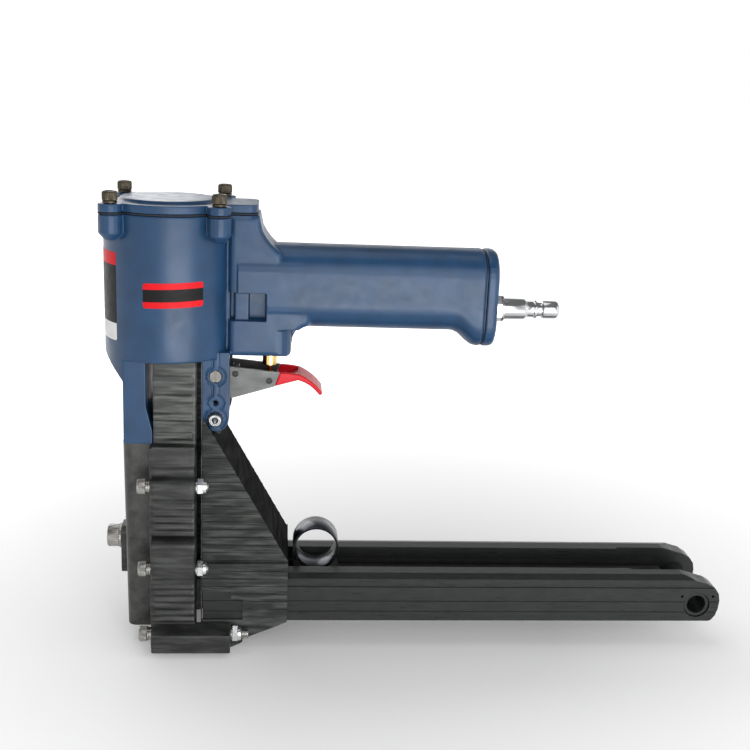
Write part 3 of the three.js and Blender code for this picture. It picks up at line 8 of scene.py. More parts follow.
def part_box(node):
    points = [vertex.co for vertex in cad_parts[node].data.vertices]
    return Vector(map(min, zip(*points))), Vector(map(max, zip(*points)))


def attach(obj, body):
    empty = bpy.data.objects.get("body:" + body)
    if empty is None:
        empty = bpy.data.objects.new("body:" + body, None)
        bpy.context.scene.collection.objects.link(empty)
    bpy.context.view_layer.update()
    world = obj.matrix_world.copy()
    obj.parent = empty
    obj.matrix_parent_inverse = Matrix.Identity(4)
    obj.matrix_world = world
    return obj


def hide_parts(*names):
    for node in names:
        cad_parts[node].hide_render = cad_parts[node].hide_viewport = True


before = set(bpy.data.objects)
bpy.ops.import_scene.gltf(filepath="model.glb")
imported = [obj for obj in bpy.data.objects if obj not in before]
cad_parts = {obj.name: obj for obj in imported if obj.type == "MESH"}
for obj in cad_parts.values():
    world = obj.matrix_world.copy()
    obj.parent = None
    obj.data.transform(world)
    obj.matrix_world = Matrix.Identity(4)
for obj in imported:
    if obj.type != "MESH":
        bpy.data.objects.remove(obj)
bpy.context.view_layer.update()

MM = 0.001

# The camera, fitted to the photograph
CAMERA_PLACE = Vector((-95.98, -701.74, 367.22)) * MM
CAMERA_YAW = radians(5.16)
CAMERA_DOWN = radians(14.93)
CAMERA_ROLL = radians(2.52)
LENS = 53.26
SENSOR = 36


def aim_camera():
    data = bpy.data.cameras.new("camera")
    data.lens = LENS
    data.sensor_width = SENSOR
    data.clip_start = 0.05
    flat = cos(CAMERA_DOWN)
    forward = Vector((sin(CAMERA_YAW) * flat, cos(CAMERA_YAW) * flat, -sin(CAMERA_DOWN)))
    level = Vector((cos(CAMERA_YAW), -sin(CAMERA_YAW), 0))
    down = forward.cross(level)
    right = cos(CAMERA_ROLL) * level - sin(CAMERA_ROLL) * down
    down = sin(CAMERA_ROLL) * level + cos(CAMERA_ROLL) * down
    turn = Matrix((right, -down, -forward)).transposed()
    camera = bpy.data.objects.new("camera", data)
    camera.matrix_world = Matrix.Translation(CAMERA_PLACE) @ turn.to_4x4()
    bpy.context.scene.collection.objects.link(camera)
    bpy.context.scene.camera = camera


# The sky's strength at the horizon and overhead, and the heights between which it changes
SKY = (1.0, 0.2)
SKY_RISE = (0.1, 0.7)

# The floor's own glow under the object and away from it, and the metres over which it changes
FLOOR_GLOW = (0.1, 1.0)
FLOOR_FADE = (0.1, 0.9)
FLOOR_REACH = 6
FLOOR_DROP = 0.5 * MM
PAPER = (0.86, 0.86, 0.86)

# The lamps: place and size in metres, and watts, all aimed at one point
LAMPS = [
    ("front", (0.2, -1.2, 0.62), (0.8, 0.8), 4.5),
    ("bounce", (0.13, -0.66, 0.02), (0.6, 0.3), 4),
    ("side", (1.2, -0.5, 0.7), (1.0, 1.0), 2.5),
    ("back", (-0.6, 1.0, 0.62), (0.9, 0.9), 4),
    ("top", (-0.2, 0.1, 1.3), (0.8, 0.8), 2.5),
]
LAMP_AIM = Vector((0, 0, 0.13))

# Directions along which a grain is drawn out
AROUND_X = (0.06, 1, 1)
AROUND_Z = (1, 1, 0.06)
ACROSS = (0.3, 1, 0.3)
LEVEL = (0.12, 0.12, 1)
UPRIGHT = (1, 1, 0.16)

# Sizes in mm of the patches that change a surface's tone, gloss and wear
TONE_PATCH = 16
GLOSS_PATCH = 7
WEAR_PATCH = 6
RIB_STREAK = 2.6
RIB_GLOSS = 5
SAND = 0.8
TOOL_LINE = 1

# How much darker and lighter the patches are, as factors of a surface's color
PAINT_TONES = (0.82, 1.18)
METAL_TONES = (0.82, 1.08)
PLAIN_TONES = (0.9, 1.08)

# How much smoother and rougher the patches are, in roughness
PAINT_SPREAD = (0.06, 0.08)
CAST_SPREAD = (0.1, 0.12)
PLAIN_SPREAD = (0.05, 0.07)

# Rubbed edges: the curvature over which they set in, how strong they show, and the bare metal's color
EDGE_SPAN = (0.52, 0.58)
PAINT_WEAR = 0.5
CAST_WEAR = 0.6
BARE_CAST = (0.1, 0.105, 0.1)


# Node materials
def map_range(nodes, links, value, span, to):
    """The value carried over from one span of numbers to another."""
    node = nodes.new("ShaderNodeMapRange")
    for socket, number in zip(("From Min", "From Max", "To Min", "To Max"), (*span, *to)):
        node.inputs[socket].default_value = number
    links.new(value, node.inputs["Value"])
    return node.outputs["Result"]


def reckon(nodes, links, operation, first, second):
    """The result of one operation on two values."""
    node = nodes.new("ShaderNodeMath")
    node.operation = operation
    links.new(first, node.inputs[0])
    links.new(second, node.inputs[1])
    return node.outputs["Value"]


def scaled(color, factor):
    return tuple(part * factor for part in color)


class Paint:
    """A principled material that is built up node by node."""

    def __init__(self, name, color, rough, metal=0.0, **fixed):
        self.material = bpy.data.materials.new(name)
        self.material.use_nodes = True
        self.nodes = self.material.node_tree.nodes
        self.links = self.material.node_tree.links
        self.shader = self.nodes["Principled BSDF"]
        self.set("Base Color", (*color, 1))
        self.set("Roughness", rough)
        self.set("Metallic", metal)
        for socket, value in fixed.items():
            self.set(socket, value)
        self.place = self.nodes.new("ShaderNodeTexCoord").outputs["Object"]

    def set(self, socket, value):
        self.shader.inputs[socket].default_value = value

    def stretched(self, scale):
        mapping = self.nodes.new("ShaderNodeMapping")
        mapping.inputs["Scale"].default_value = scale
        self.links.new(self.place, mapping.inputs["Vector"])
        return mapping.outputs["Vector"]

    def noise(self, size, detail=3.0, vector=None):
        node = self.nodes.new("ShaderNodeTexNoise")
        node.inputs["Scale"].default_value = 1 / (size * MM)
        node.inputs["Detail"].default_value = detail
        self.links.new(vector or self.place, node.inputs["Vector"])
        return node.outputs["Fac"]

    def ramp(self, value, low, high, span=(0.3, 0.7)):
        return map_range(self.nodes, self.links, value, span, (low, high))

    def mixed(self, factor, light):
        """A mix that ends in a light color and takes over the base color. The caller sets its start."""
        node = self.nodes.new("ShaderNodeMix")
        node.data_type = "RGBA"
        node.inputs["B"].default_value = (*light, 1)
        self.links.new(factor, node.inputs["Factor"])
        self.links.new(node.outputs["Result"], self.shader.inputs["Base Color"])
        return node

    def tint(self, value, dark, light):
        node = self.mixed(value, light)
        node.inputs["A"].default_value = (*dark, 1)
        return node

    def toned(self, color, patches, darker, lighter):
        """Patches in a darker and a lighter tone of one color."""
        return self.tint(self.ramp(patches, 0, 1), scaled(color, darker), scaled(color, lighter))

    def glossed(self, patches, rough, smoother, rougher):
        spread = self.ramp(patches, rough - smoother, rough + rougher)
        self.links.new(spread, self.shader.inputs["Roughness"])

    def bump(self, value, height, strength=0.5, before=None):
        node = self.nodes.new("ShaderNodeBump")
        node.inputs["Strength"].default_value = strength
        node.inputs["Distance"].default_value = height * MM
        self.links.new(value, node.inputs["Height"])
        if before:
            self.links.new(before, node.inputs["Normal"])
        self.links.new(node.outputs["Normal"], self.shader.inputs["Normal"])
        return node.outputs["Normal"]

    def worn(self, tones, bare, amount):
        """Edges rubbed lighter, from the surface's own curvature broken up by noise."""
        edge = self.nodes.new("ShaderNodeNewGeometry").outputs["Pointiness"]
        rubbed = self.ramp(edge, 0, amount, EDGE_SPAN)
        patches = self.ramp(self.noise(WEAR_PATCH), 0, 1)
        node = self.mixed(reckon(self.nodes, self.links, "MULTIPLY", rubbed, patches), bare)
        self.links.new(tones.outputs["Result"], node.inputs["A"])


def cast_paint(name, color, rough, grain, depth, bare, streaks=None, **fixed):
    """Sprayed paint over a casting: orange peel, pores, uneven gloss and rubbed edges."""
    paint = Paint(name, color, rough, **fixed)
    place = paint.stretched(streaks) if streaks else None
    tones = paint.toned(color, paint.noise(TONE_PATCH, 4, place), *PAINT_TONES)
    paint.glossed(paint.noise(GLOSS_PATCH, 5, place), rough, *PAINT_SPREAD)
    peel = paint.bump(paint.noise(grain, 3, place), depth, 0.6)
    paint.bump(paint.noise(grain * 4, 3, place), depth * 2.5, 0.35, before=peel)
    paint.worn(tones, bare, PAINT_WEAR)
    return paint.material


def ribbed_cast(name, dark, light, rough, shine, depth, wear=CAST_WEAR):
    """Black casting with uneven level streaks, where the sand and the ribs have left it dull or bright."""
    paint = Paint(name, dark, rough, **{"Specular IOR Level": shine})
    streaks = paint.stretched(LEVEL)
    coarse = paint.noise(RIB_STREAK, 4, streaks)
    tones = paint.tint(paint.ramp(coarse, 0, 1, (0.42, 0.66)), dark, light)
    paint.glossed(paint.noise(RIB_GLOSS, 5, streaks), rough, *CAST_SPREAD)
    relief = paint.bump(coarse, depth, 0.8)
    paint.bump(paint.noise(SAND), 0.05, before=relief)
    if wear:
        paint.worn(tones, BARE_CAST, wear)
    return paint.material


def drawn_metal(name, color, rough, direction, metal=1.0, depth=0.02, spread=0.12):
    """Machined or extruded metal, with fine lines along one direction."""
    paint = Paint(name, color, rough, metal)
    lines = paint.noise(TOOL_LINE, 2, paint.stretched(direction))
    paint.glossed(lines, rough, spread / 2, spread)
    paint.toned(color, paint.noise(GLOSS_PATCH, 4), *METAL_TONES)
    paint.bump(lines, depth)
    return paint.material


def plain(name, color, rough, metal=0.0, size=3, depth=0.02, **fixed):
    """A smooth surface with slight changes of tone, gloss and level."""
    paint = Paint(name, color, rough, metal, **fixed)
    paint.toned(color, paint.noise(size * 3, 4), *PLAIN_TONES)
    paint.glossed(paint.noise(size, 4), rough, *PLAIN_SPREAD)
    paint.bump(paint.noise(size, 4), depth, 0.4)
    return paint.material


def small_part(name, color, rough, metal=1.0, depth=0.03):
    """The finish of a bolt, a nut or another small piece."""
    return plain(name, color, rough, metal, size=2, depth=depth)


def printed(name, color):
    return plain(name, color, rough=0.4, size=4, depth=0.01, **PRINTED)


BLUE = (0.012, 0.048, 0.115)
BARE_BLUE = (0.09, 0.15, 0.26)
BARE_PLATE = (0.09, 0.09, 0.08)
PAINTED = {"Specular IOR Level": 0.3, "Coat Weight": 0.15, "Coat Roughness": 0.3}
PRINTED = {"Specular IOR Level": 0.12}
DIPPED = {"Specular IOR Level": 0.12, "Coat Weight": 0.15, "Coat Roughness": 0.1}

finish = {
    "blue": cast_paint(
        "blue paint", BLUE, rough=0.34, grain=0.9, depth=0.05, bare=BARE_BLUE, **PAINTED),
    "plate": cast_paint(
        "front plate", (0.01, 0.011, 0.0105), rough=0.34, grain=1.0, depth=0.06, bare=BARE_PLATE,
        streaks=UPRIGHT),
    "black": ribbed_cast(
        "black casting", dark=(0.011, 0.012, 0.011), light=(0.042, 0.045, 0.042),
        rough=0.42, shine=0.4, depth=0.35),
    # Lighter tones for the side castings above their step: a painted highlight that stands in for the light
    # those faces catch
    "highlit_flank": ribbed_cast(
        "casting with painted highlight", dark=(0.024, 0.026, 0.024), light=(0.105, 0.112, 0.105),
        rough=0.4, shine=0.4, depth=0.35),
    "bracket": ribbed_cast(
        "pressed bracket", dark=(0.032, 0.035, 0.033), light=(0.08, 0.086, 0.081),
        rough=0.6, shine=0.06, depth=0.14, wear=0),
    # Far darker tones for the bracket's back-leaning slope: painted shade, where that slope lies in shadow;
    # its finer grain is its own
    "shaded_slope": ribbed_cast(
        "smooth bracket with painted shade", dark=(0.006, 0.0065, 0.006), light=(0.015, 0.016, 0.015),
        rough=0.7, shine=0.01, depth=0.05, wear=0),
    "rail": drawn_metal("black anodising", (0.024, 0.026, 0.026), 0.32, AROUND_X, metal=0.4, depth=0.03),
    "lever": drawn_metal("pressed lever", (0.115, 0.12, 0.117), 0.42, AROUND_X, depth=0.03),
    "steel": drawn_metal("plain steel", (0.3, 0.285, 0.255), 0.36, AROUND_Z),
    "core": drawn_metal("core steel", (0.16, 0.155, 0.145), 0.4, AROUND_X),
    "strip": drawn_metal("spring strip", (0.07, 0.075, 0.085), 0.24, ACROSS, depth=0.006, spread=0.05),
    "aluminium": drawn_metal("machined aluminium", (0.6, 0.61, 0.62), 0.3, AROUND_Z),
    "bolt": small_part("grey bolt steel", (0.36, 0.35, 0.33), 0.3),
    "screw": small_part("oiled steel", (0.08, 0.068, 0.05), 0.3),
    "washer": small_part("blackened washer", (0.03, 0.03, 0.03), 0.45, metal=0.6),
    "zinc": small_part("zinc plating", (0.78, 0.79, 0.8), 0.24, depth=0.02),
    "nylon": small_part("nut insert", (0.35, 0.36, 0.36), 0.4, metal=0.0, depth=0.02),
    "brass": small_part("brass", (0.75, 0.52, 0.2), 0.2, depth=0.01),
    "bright": plain("bright plating", (0.56, 0.57, 0.58), 0.17, metal=1.0, size=4, depth=0.008),
    "rubber": plain("rubber", (0.009, 0.012, 0.02), 0.75, size=1, depth=0.04),
    "seam": plain("painted seam", (0.006, 0.02, 0.048), 0.5, size=1, depth=0.03),
    "red": plain("red dip", (0.6, 0.008, 0.018), 0.3, size=5, depth=0.01, **DIPPED),
    "label_red": printed("printed red", (0.72, 0.012, 0.018)),
    "label_black": printed("printed black", (0.01, 0.01, 0.01)),
    "label_white": printed("printed white", (0.86, 0.86, 0.86)),
}

# The finish of each CAD node, by the start of its name
NODE_FINISHES = {
    "blue": ["housing", "cylinder_cap", "handle_end_cap"],
    "seam": ["handle_gasket"],
    "rubber": ["cap_gasket", "piston_o_ring", "piston_bumper"],
    "screw": ["cap_screw"],
    "bolt": ["nose_bolt", "depth_stop_bolt", "depth_stop_washer", "depth_stop_nut", "bracket_washer"],
    "bright": ["air_plug", "bracket_bolt", "bracket_nut"],
    "zinc": ["nose_nut"],
    "aluminium": ["cylinder_sleeve", "piston"],
    "steel": ["driver_blade", "clincher"],
    "core": ["staple_core", "trigger_pivot"],
    "washer": ["trigger_pin"],
    "brass": ["trigger_valve", "valve_stem"],
    "black": ["depth_stop_plate", "pusher", "side_casting"],
    "plate": ["front_plate"],
    "bracket": ["magazine_bracket"],
    "lever": ["trigger_lever"],
    "red": ["finger_rest"],
    "rail": ["rear_spacer", "rail"],
    "strip": ["roll_spring"],
}


def finish_of(node):
    """The finish whose longest name fits the node."""
    fits = [
        (len(start), look)
        for look, starts in NODE_FINISHES.items()
        for start in starts
        if node.startswith(start)
    ]
    return finish[max(fits)[1]]


# Edges that turn by more than this many degrees stay sharp
SHARP_NODE = 28
SHARP_FINE = 30
SHARP_STRIP = 40


def shade(mesh, sharp):
    """Smooth shading, apart from the sharp edges."""
    mesh.shade_smooth()
    mesh.set_sharp_from_angle(angle=radians(sharp))


def second_look(mesh, look, picks):
    """Gives another finish to the faces that picks chooses, from their center in mm and their normal; here
    that finish is painted shade or a painted highlight.
    """
    mesh.materials.append(finish[look])
    for face in mesh.polygons:
        if picks(face.center / MM, face.normal):
            face.material_index = 1


# The bracket's slope leans back at least this much, and the side castings step in at this height in mm.
# Faces on the slope get painted shade, and faces above the step a painted highlight
SLOPE_LEAN = 0.5
FLANK_FOOT = 140.5


def on_slope(center, normal):
    return normal.x > SLOPE_LEAN


def on_flank(center, normal):
    return center.z > FLANK_FOOT


def dress_nodes():
    for name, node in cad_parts.items():
        node.data.materials.clear()
        node.data.materials.append(finish_of(name))
        shade(node.data, SHARP_NODE)
    # The bracket's back-leaning slope is painted darker as shade
    second_look(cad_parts["magazine_bracket"].data, "shaded_slope", on_slope)


# New pieces
def add_piece(name, mesh, look, body, slot, *replaced):
    piece = bpy.data.objects.new(name, mesh)
    bpy.context.scene.collection.objects.link(piece)
    mesh.materials.clear()
    mesh.materials.append(finish[look])
    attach(piece, body)
    if replaced:
        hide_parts(*replaced)
    return piece


# The barrel in metres: its axis, its full radius, and how far its turned flats stay within it
BARREL_X = sum(corner.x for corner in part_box("cylinder_sleeve")) / 2
BARREL_RADIUS = 39.9 * MM
BARREL_SLACK = 0.09 * MM

# The pocket in the web in mm: where its floor lies, and how much deeper it is set
POCKET_X = (-126.8, -104.4)
POCKET_Z = (217.8, 235.2)
POCKET_FLOOR = (12.5, 14.6)
POCKET_DEEPER = 4

# The grip and the bolt bosses in mm: where they are smoothed, and over what length that sets in
HANDLE_STRETCH = (-84, 32)
HANDLE_EASE = 3
BOSS_BOLTS = ("nose_bolt_upper_left", "nose_bolt_middle_left")
BOSS_HEIGHTS = [sum(corner.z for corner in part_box(name)) / 2 / MM for name in BOSS_BOLTS]
BOSS_REACH = 13
BOSS_INNER = 36
BOSS_EASE = 2

# How each mould rounds its casting: the grain of its copy in mm, and the rounds of smoothing
SAND_MOULD = (0.5, 3)
NOSE_MOULD = (0.6, 6)
DIP = (0.3, 5)
HANDLE_ROUNDS = 50
BOSS_ROUNDS = 45
SOFTNESS = 0.5

# A copy with more faces than this keeps only a share of them
MANY_FACES = 300000
FEWER_SHARE = 0.5


def apply_modifiers(piece):
    """Puts the result of the piece's modifiers into its mesh."""
    shape = piece.evaluated_get(bpy.context.evaluated_depsgraph_get())
    mesh = bpy.data.meshes.new_from_object(shape)
    piece.modifiers.clear()
    piece.data = mesh


def smooth(piece, rounds):
    modifier = piece.modifiers.new("smooth", "SMOOTH")
    modifier.factor = SOFTNESS
    modifier.iterations = rounds
    return modifier


def smooth_part(piece, weight_of, rounds):
    """Smooths a piece where weight_of gives a weight above zero, from a point in mm."""
    group = piece.vertex_groups.new(name="part")
    for vertex in piece.data.vertices:
        weight = min(weight_of(vertex.co / MM), 1)
        if weight > 0:
            group.add([vertex.index], weight, "REPLACE")
    smooth(piece, rounds).vertex_group = group.name
    apply_modifiers(piece)


def on_handle(point):
    return min(point.x - HANDLE_STRETCH[0], HANDLE_STRETCH[1] - point.x) / HANDLE_EASE


def on_boss(point):
    """Above zero on the two round bosses of a side casting."""
    nearest = min(abs(point.z - height) for height in BOSS_HEIGHTS)
    return min((BOSS_REACH - nearest) / BOSS_EASE, abs(point.y) - BOSS_INNER)


def true_barrel(mesh):
    """Moves the points that lie within the flats of the turned barrel out to its full radius."""
    for vertex in mesh.vertices:
        from_axis = Vector((vertex.co.x - BARREL_X, vertex.co.y))
        if abs(from_axis.length - BARREL_RADIUS) < BARREL_SLACK:
            from_axis *= BARREL_RADIUS / from_axis.length
            vertex.co.x, vertex.co.y = BARREL_X + from_axis.x, from_axis.y


def deepen_pocket(mesh):
    """Sets the floor of the pocket in the web deeper, so that its rib stands out as in the casting."""
    for vertex in mesh.vertices:
        point = vertex.co / MM
        inside = POCKET_X[0] < point.x < POCKET_X[1] and POCKET_Z[0] < point.z < POCKET_Z[1]
        if inside and POCKET_FLOOR[0] < abs(point.y) < POCKET_FLOOR[1]:
            vertex.co.y *= (abs(point.y) - POCKET_DEEPER) / abs(point.y)


def cast_copy(node, name, mould, part, changes):
    """A mesh of a CAD node whose edges and inner corners are rounded as a mould leaves them."""
    grain, rounds = mould
    copy = bpy.data.objects.new(name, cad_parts[node].data.copy())
    bpy.context.scene.collection.objects.link(copy)
    remesh = copy.modifiers.new("remesh", "REMESH")
    remesh.mode = "VOXEL"
    remesh.voxel_size = grain * MM
    smooth(copy, rounds)
    bpy.context.view_layer.update()
    apply_modifiers(copy)
    for change in changes:
        change(copy.data)
    if part:
        smooth_part(copy, *part)
    if len(copy.data.polygons) > MANY_FACES:
        copy.modifiers.new("fewer faces", "DECIMATE").ratio = FEWER_SHARE
        apply_modifiers(copy)
    mesh = copy.data
    bpy.data.objects.remove(copy)
    mesh.shade_smooth()
    return mesh


def cast_piece(node, name, look, slot, mould, part=None, changes=(true_barrel,), body="frame"):
    return add_piece(name, cast_copy(node, name, mould, part, changes), look, body, slot, node)


def build_castings():
    cast_piece("housing", "housing_casting", "blue", "blue_paint", SAND_MOULD,
               part=(on_handle, HANDLE_ROUNDS), changes=(true_barrel, deepen_pocket))
    cast_piece("cylinder_cap", "cap_casting", "blue", "blue_paint", SAND_MOULD)
    cast_piece("handle_end_cap", "end_cap_casting", "blue", "blue_paint", SAND_MOULD)
    for node in ("side_casting_left", "side_casting_right"):
        cast = cast_piece(node, node + "_cast", "black", "black_casting", NOSE_MOULD,
                          part=(on_boss, BOSS_ROUNDS))
        # Above their step the side castings get a painted highlight
        second_look(cast.data, "highlit_flank", on_flank)
    cast_piece("finger_rest", "finger_rest_dip", "red", "red_dip", DIP, body="trigger")


# Edges that a tool or a mould leaves slightly round on the plain metal pieces
EASED = {
    "front_plate": 0.4, "magazine_bracket": 0.35, "trigger_lever": 0.3, "depth_stop_plate": 0.35,
    "pusher": 0.25, "rail_left": 0.3, "rail_right": 0.3, "staple_core": 0.25,
    "clincher_left": 0.3, "clincher_right": 0.3,
}
FLAT_WITHIN = radians(0.5)
EASED_ABOVE = radians(38)


def ease_edges():
    for name, width in EASED.items():
        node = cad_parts[name]
        flat = node.modifiers.new("flat faces", "DECIMATE")
        flat.decimate_type = "DISSOLVE"
        flat.angle_limit = FLAT_WITHIN
        bevel = node.modifiers.new("eased edges", "BEVEL")
        bevel.width = width * MM
        bevel.segments = 2
        bevel.limit_method = "ANGLE"
        bevel.angle_limit = EASED_ABOVE
        bevel.miter_outer = "MITER_ARC"


def outward(mesh):
    """Turns all faces of a closed mesh outward."""
    bm = bmesh.new()
    bm.from_mesh(mesh)
    bmesh.ops.recalc_face_normals(bm, faces=bm.faces)
    bm.to_mesh(mesh)
    bm.free()


def grid_mesh(name, rows, closed_along=False):
    """A closed mesh over rings of points of one count, with flat ends unless it closes along them too."""
    count = len(rows[0])
    verts = [tuple(point) for row in rows for point in row]
    faces = []
    for i in range(len(rows) if closed_along else len(rows) - 1):
        near, far = i * count, (i + 1) % len(rows) * count
        for j in range(count):
            k = (j + 1) % count
            faces.append((near + j, near + k, far + k, far + j))
    if not closed_along:
        faces.append(tuple(range(count))[::-1])
        faces.append(tuple(range((len(rows) - 1) * count, len(rows) * count)))
    mesh = bpy.data.meshes.new(name)
    mesh.from_pydata(verts, [], faces)
    mesh.validate()
    outward(mesh)
    return mesh


# Turned and six-sided pieces, in mm: rings of (place along the axis, radius, form)
FACETS = 72
KNURL = 0.22
PITCH = 1.0
THREAD = 0.35
TOOTH = 0.8
TOOTH_FACETS = 6
FLAT_TURN = 60

# The tip of a thread and a socket head in mm: places along them, and how much is cut off their radius
THREAD_TIP = [(0, 0.8), (0.5, 0.3)]
THREAD_STEPS = 4
HEAD_FOOT = [(0, 0.5), (0.3, 0.15)]
HEAD_CROWN = [(-0.8, 0.15), (-0.3, 0.35), (0, 0.75)]
HEAD_KNURL = (0.35, 0.9)
SOCKET_RIM = 0.7
SOCKET_LEAD = 0.35
SOCKET_TIP = 0.6
SOCKET_TIP_SHARE = 0.4


def ring_radius(j, place, radius, form):
    if form == "hex":
        return radius / cos(radians(j * 360 / FACETS % FLAT_TURN - FLAT_TURN / 2))
    if form == "knurl":
        return radius - KNURL * (j % 2)
    if form == "teeth":
        return radius if j % TOOTH_FACETS < TOOTH_FACETS / 2 else radius - TOOTH
    if form == "thread":
        return radius - THREAD * abs(2 * ((place / PITCH + j / FACETS) % 1) - 1)
    return radius


def turned_mesh(name, axis, center, rings, tube=False):
    along = Vector(axis)
    up = Vector((along.y, along.z, along.x))
    across = along.cross(up)
    rows = []
    for place, radius, form in rings:
        row = []
        for j in range(FACETS):
            turn = radians(j * 360 / FACETS)
            spoke = (up * cos(turn) + across * sin(turn)) * ring_radius(j, place, radius, form)
            row.append((Vector(center) + along * place + spoke) * MM)
        rows.append(row)
    mesh = grid_mesh(name, rows, closed_along=tube)
    shade(mesh, SHARP_FINE)
    return mesh


def turned_piece(node, axis, center, rings, look, slot, body="frame", tube=False):
    """A CAD node's finely turned copy, with rings along an axis through a center in mm."""
    mesh = turned_mesh(node, axis, center, rings, tube)
    add_piece(node + "_fine", mesh, look, body, slot, node)


def rings_at(start, profile, form="round"):
    """Rings of one form, from pairs of (place past the start, radius)."""
    return [(start + place, radius, form) for place, radius in profile]


def cut_rings(start, radius, cuts):
    """Round rings, from pairs of (place past the start, how much is cut off the radius)."""
    return rings_at(start, [(place, radius - cut) for place, cut in cuts])


def thread_rings(start, end, radius):
    """A thread that starts with a small chamfer at its tip."""
    lead, step = THREAD_TIP[-1][0], PITCH / THREAD_STEPS
    steps = int((end - start - lead) / step)
    thread = [(start + lead + i * step, radius, "thread") for i in range(1, steps)]
    return cut_rings(start, radius, THREAD_TIP) + thread


def socket_head(seat, top, radius, socket, depth):
    """A knurled head with a six-sided socket, from its seat to its top."""
    rings = cut_rings(seat, radius, HEAD_FOOT)
    rings += [(seat + HEAD_KNURL[0], radius, "knurl"), (top - HEAD_KNURL[1], radius, "knurl")]
    rings += cut_rings(top, radius, HEAD_CROWN) + [(top, socket + SOCKET_RIM, "round")]
    rings += rings_at(top, [(-SOCKET_LEAD, socket), (-depth, socket)], "hex")
    return rings + [(top - depth - SOCKET_TIP, socket * SOCKET_TIP_SHARE, "round")]


def node_mm(name):
    low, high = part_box(name)
    return Vector(low) / MM, Vector(high) / MM


def middle_mm(name):
    low, high = node_mm(name)
    return [(first + second) / 2 for first, second in zip(low, high)]


def nodes_named(start):
    return [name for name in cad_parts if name.startswith(start)]


# The cap screws: an M6 shank in a spring washer under a tall head
CAP_SCREW = {"shank": 3, "head": 7, "radius": 4.6, "socket": 2.4, "depth": 3, "plain": 4, "seat": 1.35}
SPRING_WASHER = [(0, 3), (0, 4.3), (0.2, 4.45), (1, 4.45), (1.2, 4.3), (1.2, 3.8)]


def build_cap_screws():
    screw = CAP_SCREW
    for name in nodes_named("cap_screw"):
        low, high = node_mm(name)
        x, y, _ = middle_mm(name)
        seat, shank = high.z - screw["head"], screw["shank"]
        neck = seat - screw["plain"]
        rings = thread_rings(low.z, neck, shank) + [(neck, shank, "round")] + rings_at(seat, SPRING_WASHER)
        rings += socket_head(seat + screw["seat"], high.z, screw["radius"], screw["socket"], screw["depth"])
        turned_piece(name, (0, 0, 1), (x, y, 0), rings, "screw", "plain_steel")


# The nose bolts: two washers under a head, and a thread that shows behind the nut
NOSE_BOLT = {
    "shank": 3, "head": 5.4, "radius": 4.9, "socket": 2.5, "depth": 3.2, "thread": 14, "collar": 2.6,
}
LOWER_WASHER = [(0, 3), (0, 4.2), (0.15, 4.3), (1.1, 4.3), (1.2, 4.1), (1.25, 3.7)]
UPPER_WASHER = [(1.45, 3.7), (1.5, 4.1), (1.6, 4.3)]
WASHER_TOP = [(-0.15, 4.3), (0, 4.1), (0, 3.9)]


def build_nose_bolts():
    bolt = NOSE_BOLT
    for name in nodes_named("nose_bolt"):
        low, high = node_mm(name)
        _, y, z = middle_mm(name)
        top, tip = -low.x, -high.x
        seat = top - bolt["head"]
        rings = thread_rings(tip, tip + bolt["thread"], bolt["shank"])
        rings += rings_at(seat - bolt["collar"], LOWER_WASHER + UPPER_WASHER) + rings_at(seat, WASHER_TOP)
        rings += socket_head(seat, top, bolt["radius"], bolt["socket"], bolt["depth"])
        turned_piece(name, (-1, 0, 0), (0, y, z), rings, "bolt", "plain_steel")


# The nose nuts: a foot, six flats, and an end crimped over a nylon ring
NUT_FOOT = [(0, 3.05), (0, 4.2), (0.7, 4.3)]
NUT_FLATS = [(0.75, 4.3), (1.1, 4.74), (4.2, 4.74), (4.6, 4.4)]
NUT_NECK = [(4.7, 4.3)]
NUT_CRIMP = [(-0.9, 4.25), (-0.35, 4.05), (-0.1, 3.7), (-0.2, 3.5), (-0.6, 3.05)]
NUT_INSERT = [(-0.9, 3.02), (-0.9, 3.6), (-0.25, 3.5), (-0.35, 3.02)]


def build_nose_nuts():
    axis = (1, 0, 0)
    for name in nodes_named("nose_nut"):
        low, high = node_mm(name)
        _, y, z = middle_mm(name)
        center, end = (low.x, y, z), high.x - low.x
        rings = rings_at(0, NUT_FOOT) + rings_at(0, NUT_FLATS, "hex") + rings_at(0, NUT_NECK)
        rings += rings_at(end, NUT_CRIMP)
        turned_piece(name, axis, center, rings, "zinc", "bright_plating", tube=True)
        insert = turned_mesh(name + "_insert", axis, center, rings_at(end, NUT_INSERT), tube=True)
        add_piece(name + "_insert", insert, "nylon", "frame", "rubber")


STOP_BOLT = {"shank": 4, "head": 7.9, "radius": 7.6, "socket": 3.6, "depth": 5, "plain": 1}


def build_stop_bolt():
    bolt = STOP_BOLT
    low, high = node_mm("depth_stop_bolt")
    top, tip = -low.x, -high.x
    seat = top - bolt["head"]
    rings = thread_rings(tip, seat - bolt["plain"], bolt["shank"]) + [(seat, bolt["shank"], "round")]
    rings += socket_head(seat, top, bolt["radius"], bolt["socket"], bolt["depth"])
    center = (0, 0, middle_mm("depth_stop_bolt")[2])
    turned_piece("depth_stop_bolt", (-1, 0, 0), center, rings, "bolt", "plain_steel", "depth_stop")


# The bolt through the ears: a hollow end in a bright ring nut, over a toothed black washer
BRACKET_SOCKET = [(1.5, 1.5), (0, 1.5)]
BRACKET_HEAD = [(0, 4.1), (0.4, 4.7), (2.2, 4.7), (2.5, 4.4), (2.55, 3)]
BRACKET_TIP = [(-1.2, 3), (-0.3, 2.9), (0, 2.6), (0, 2.3), (-0.3, 2), (-8, 2), (-9, 0.6)]
RING_FOOT = [(0, 3.02), (0, 3.9), (0.3, 4.08)]
RING_TOP = [(-0.9, 4.08), (-0.3, 3.85), (0, 3.4), (0, 3.02)]
TOOTHED = {"bore": 3.05, "edge": 4.7, "middle": 5.2}


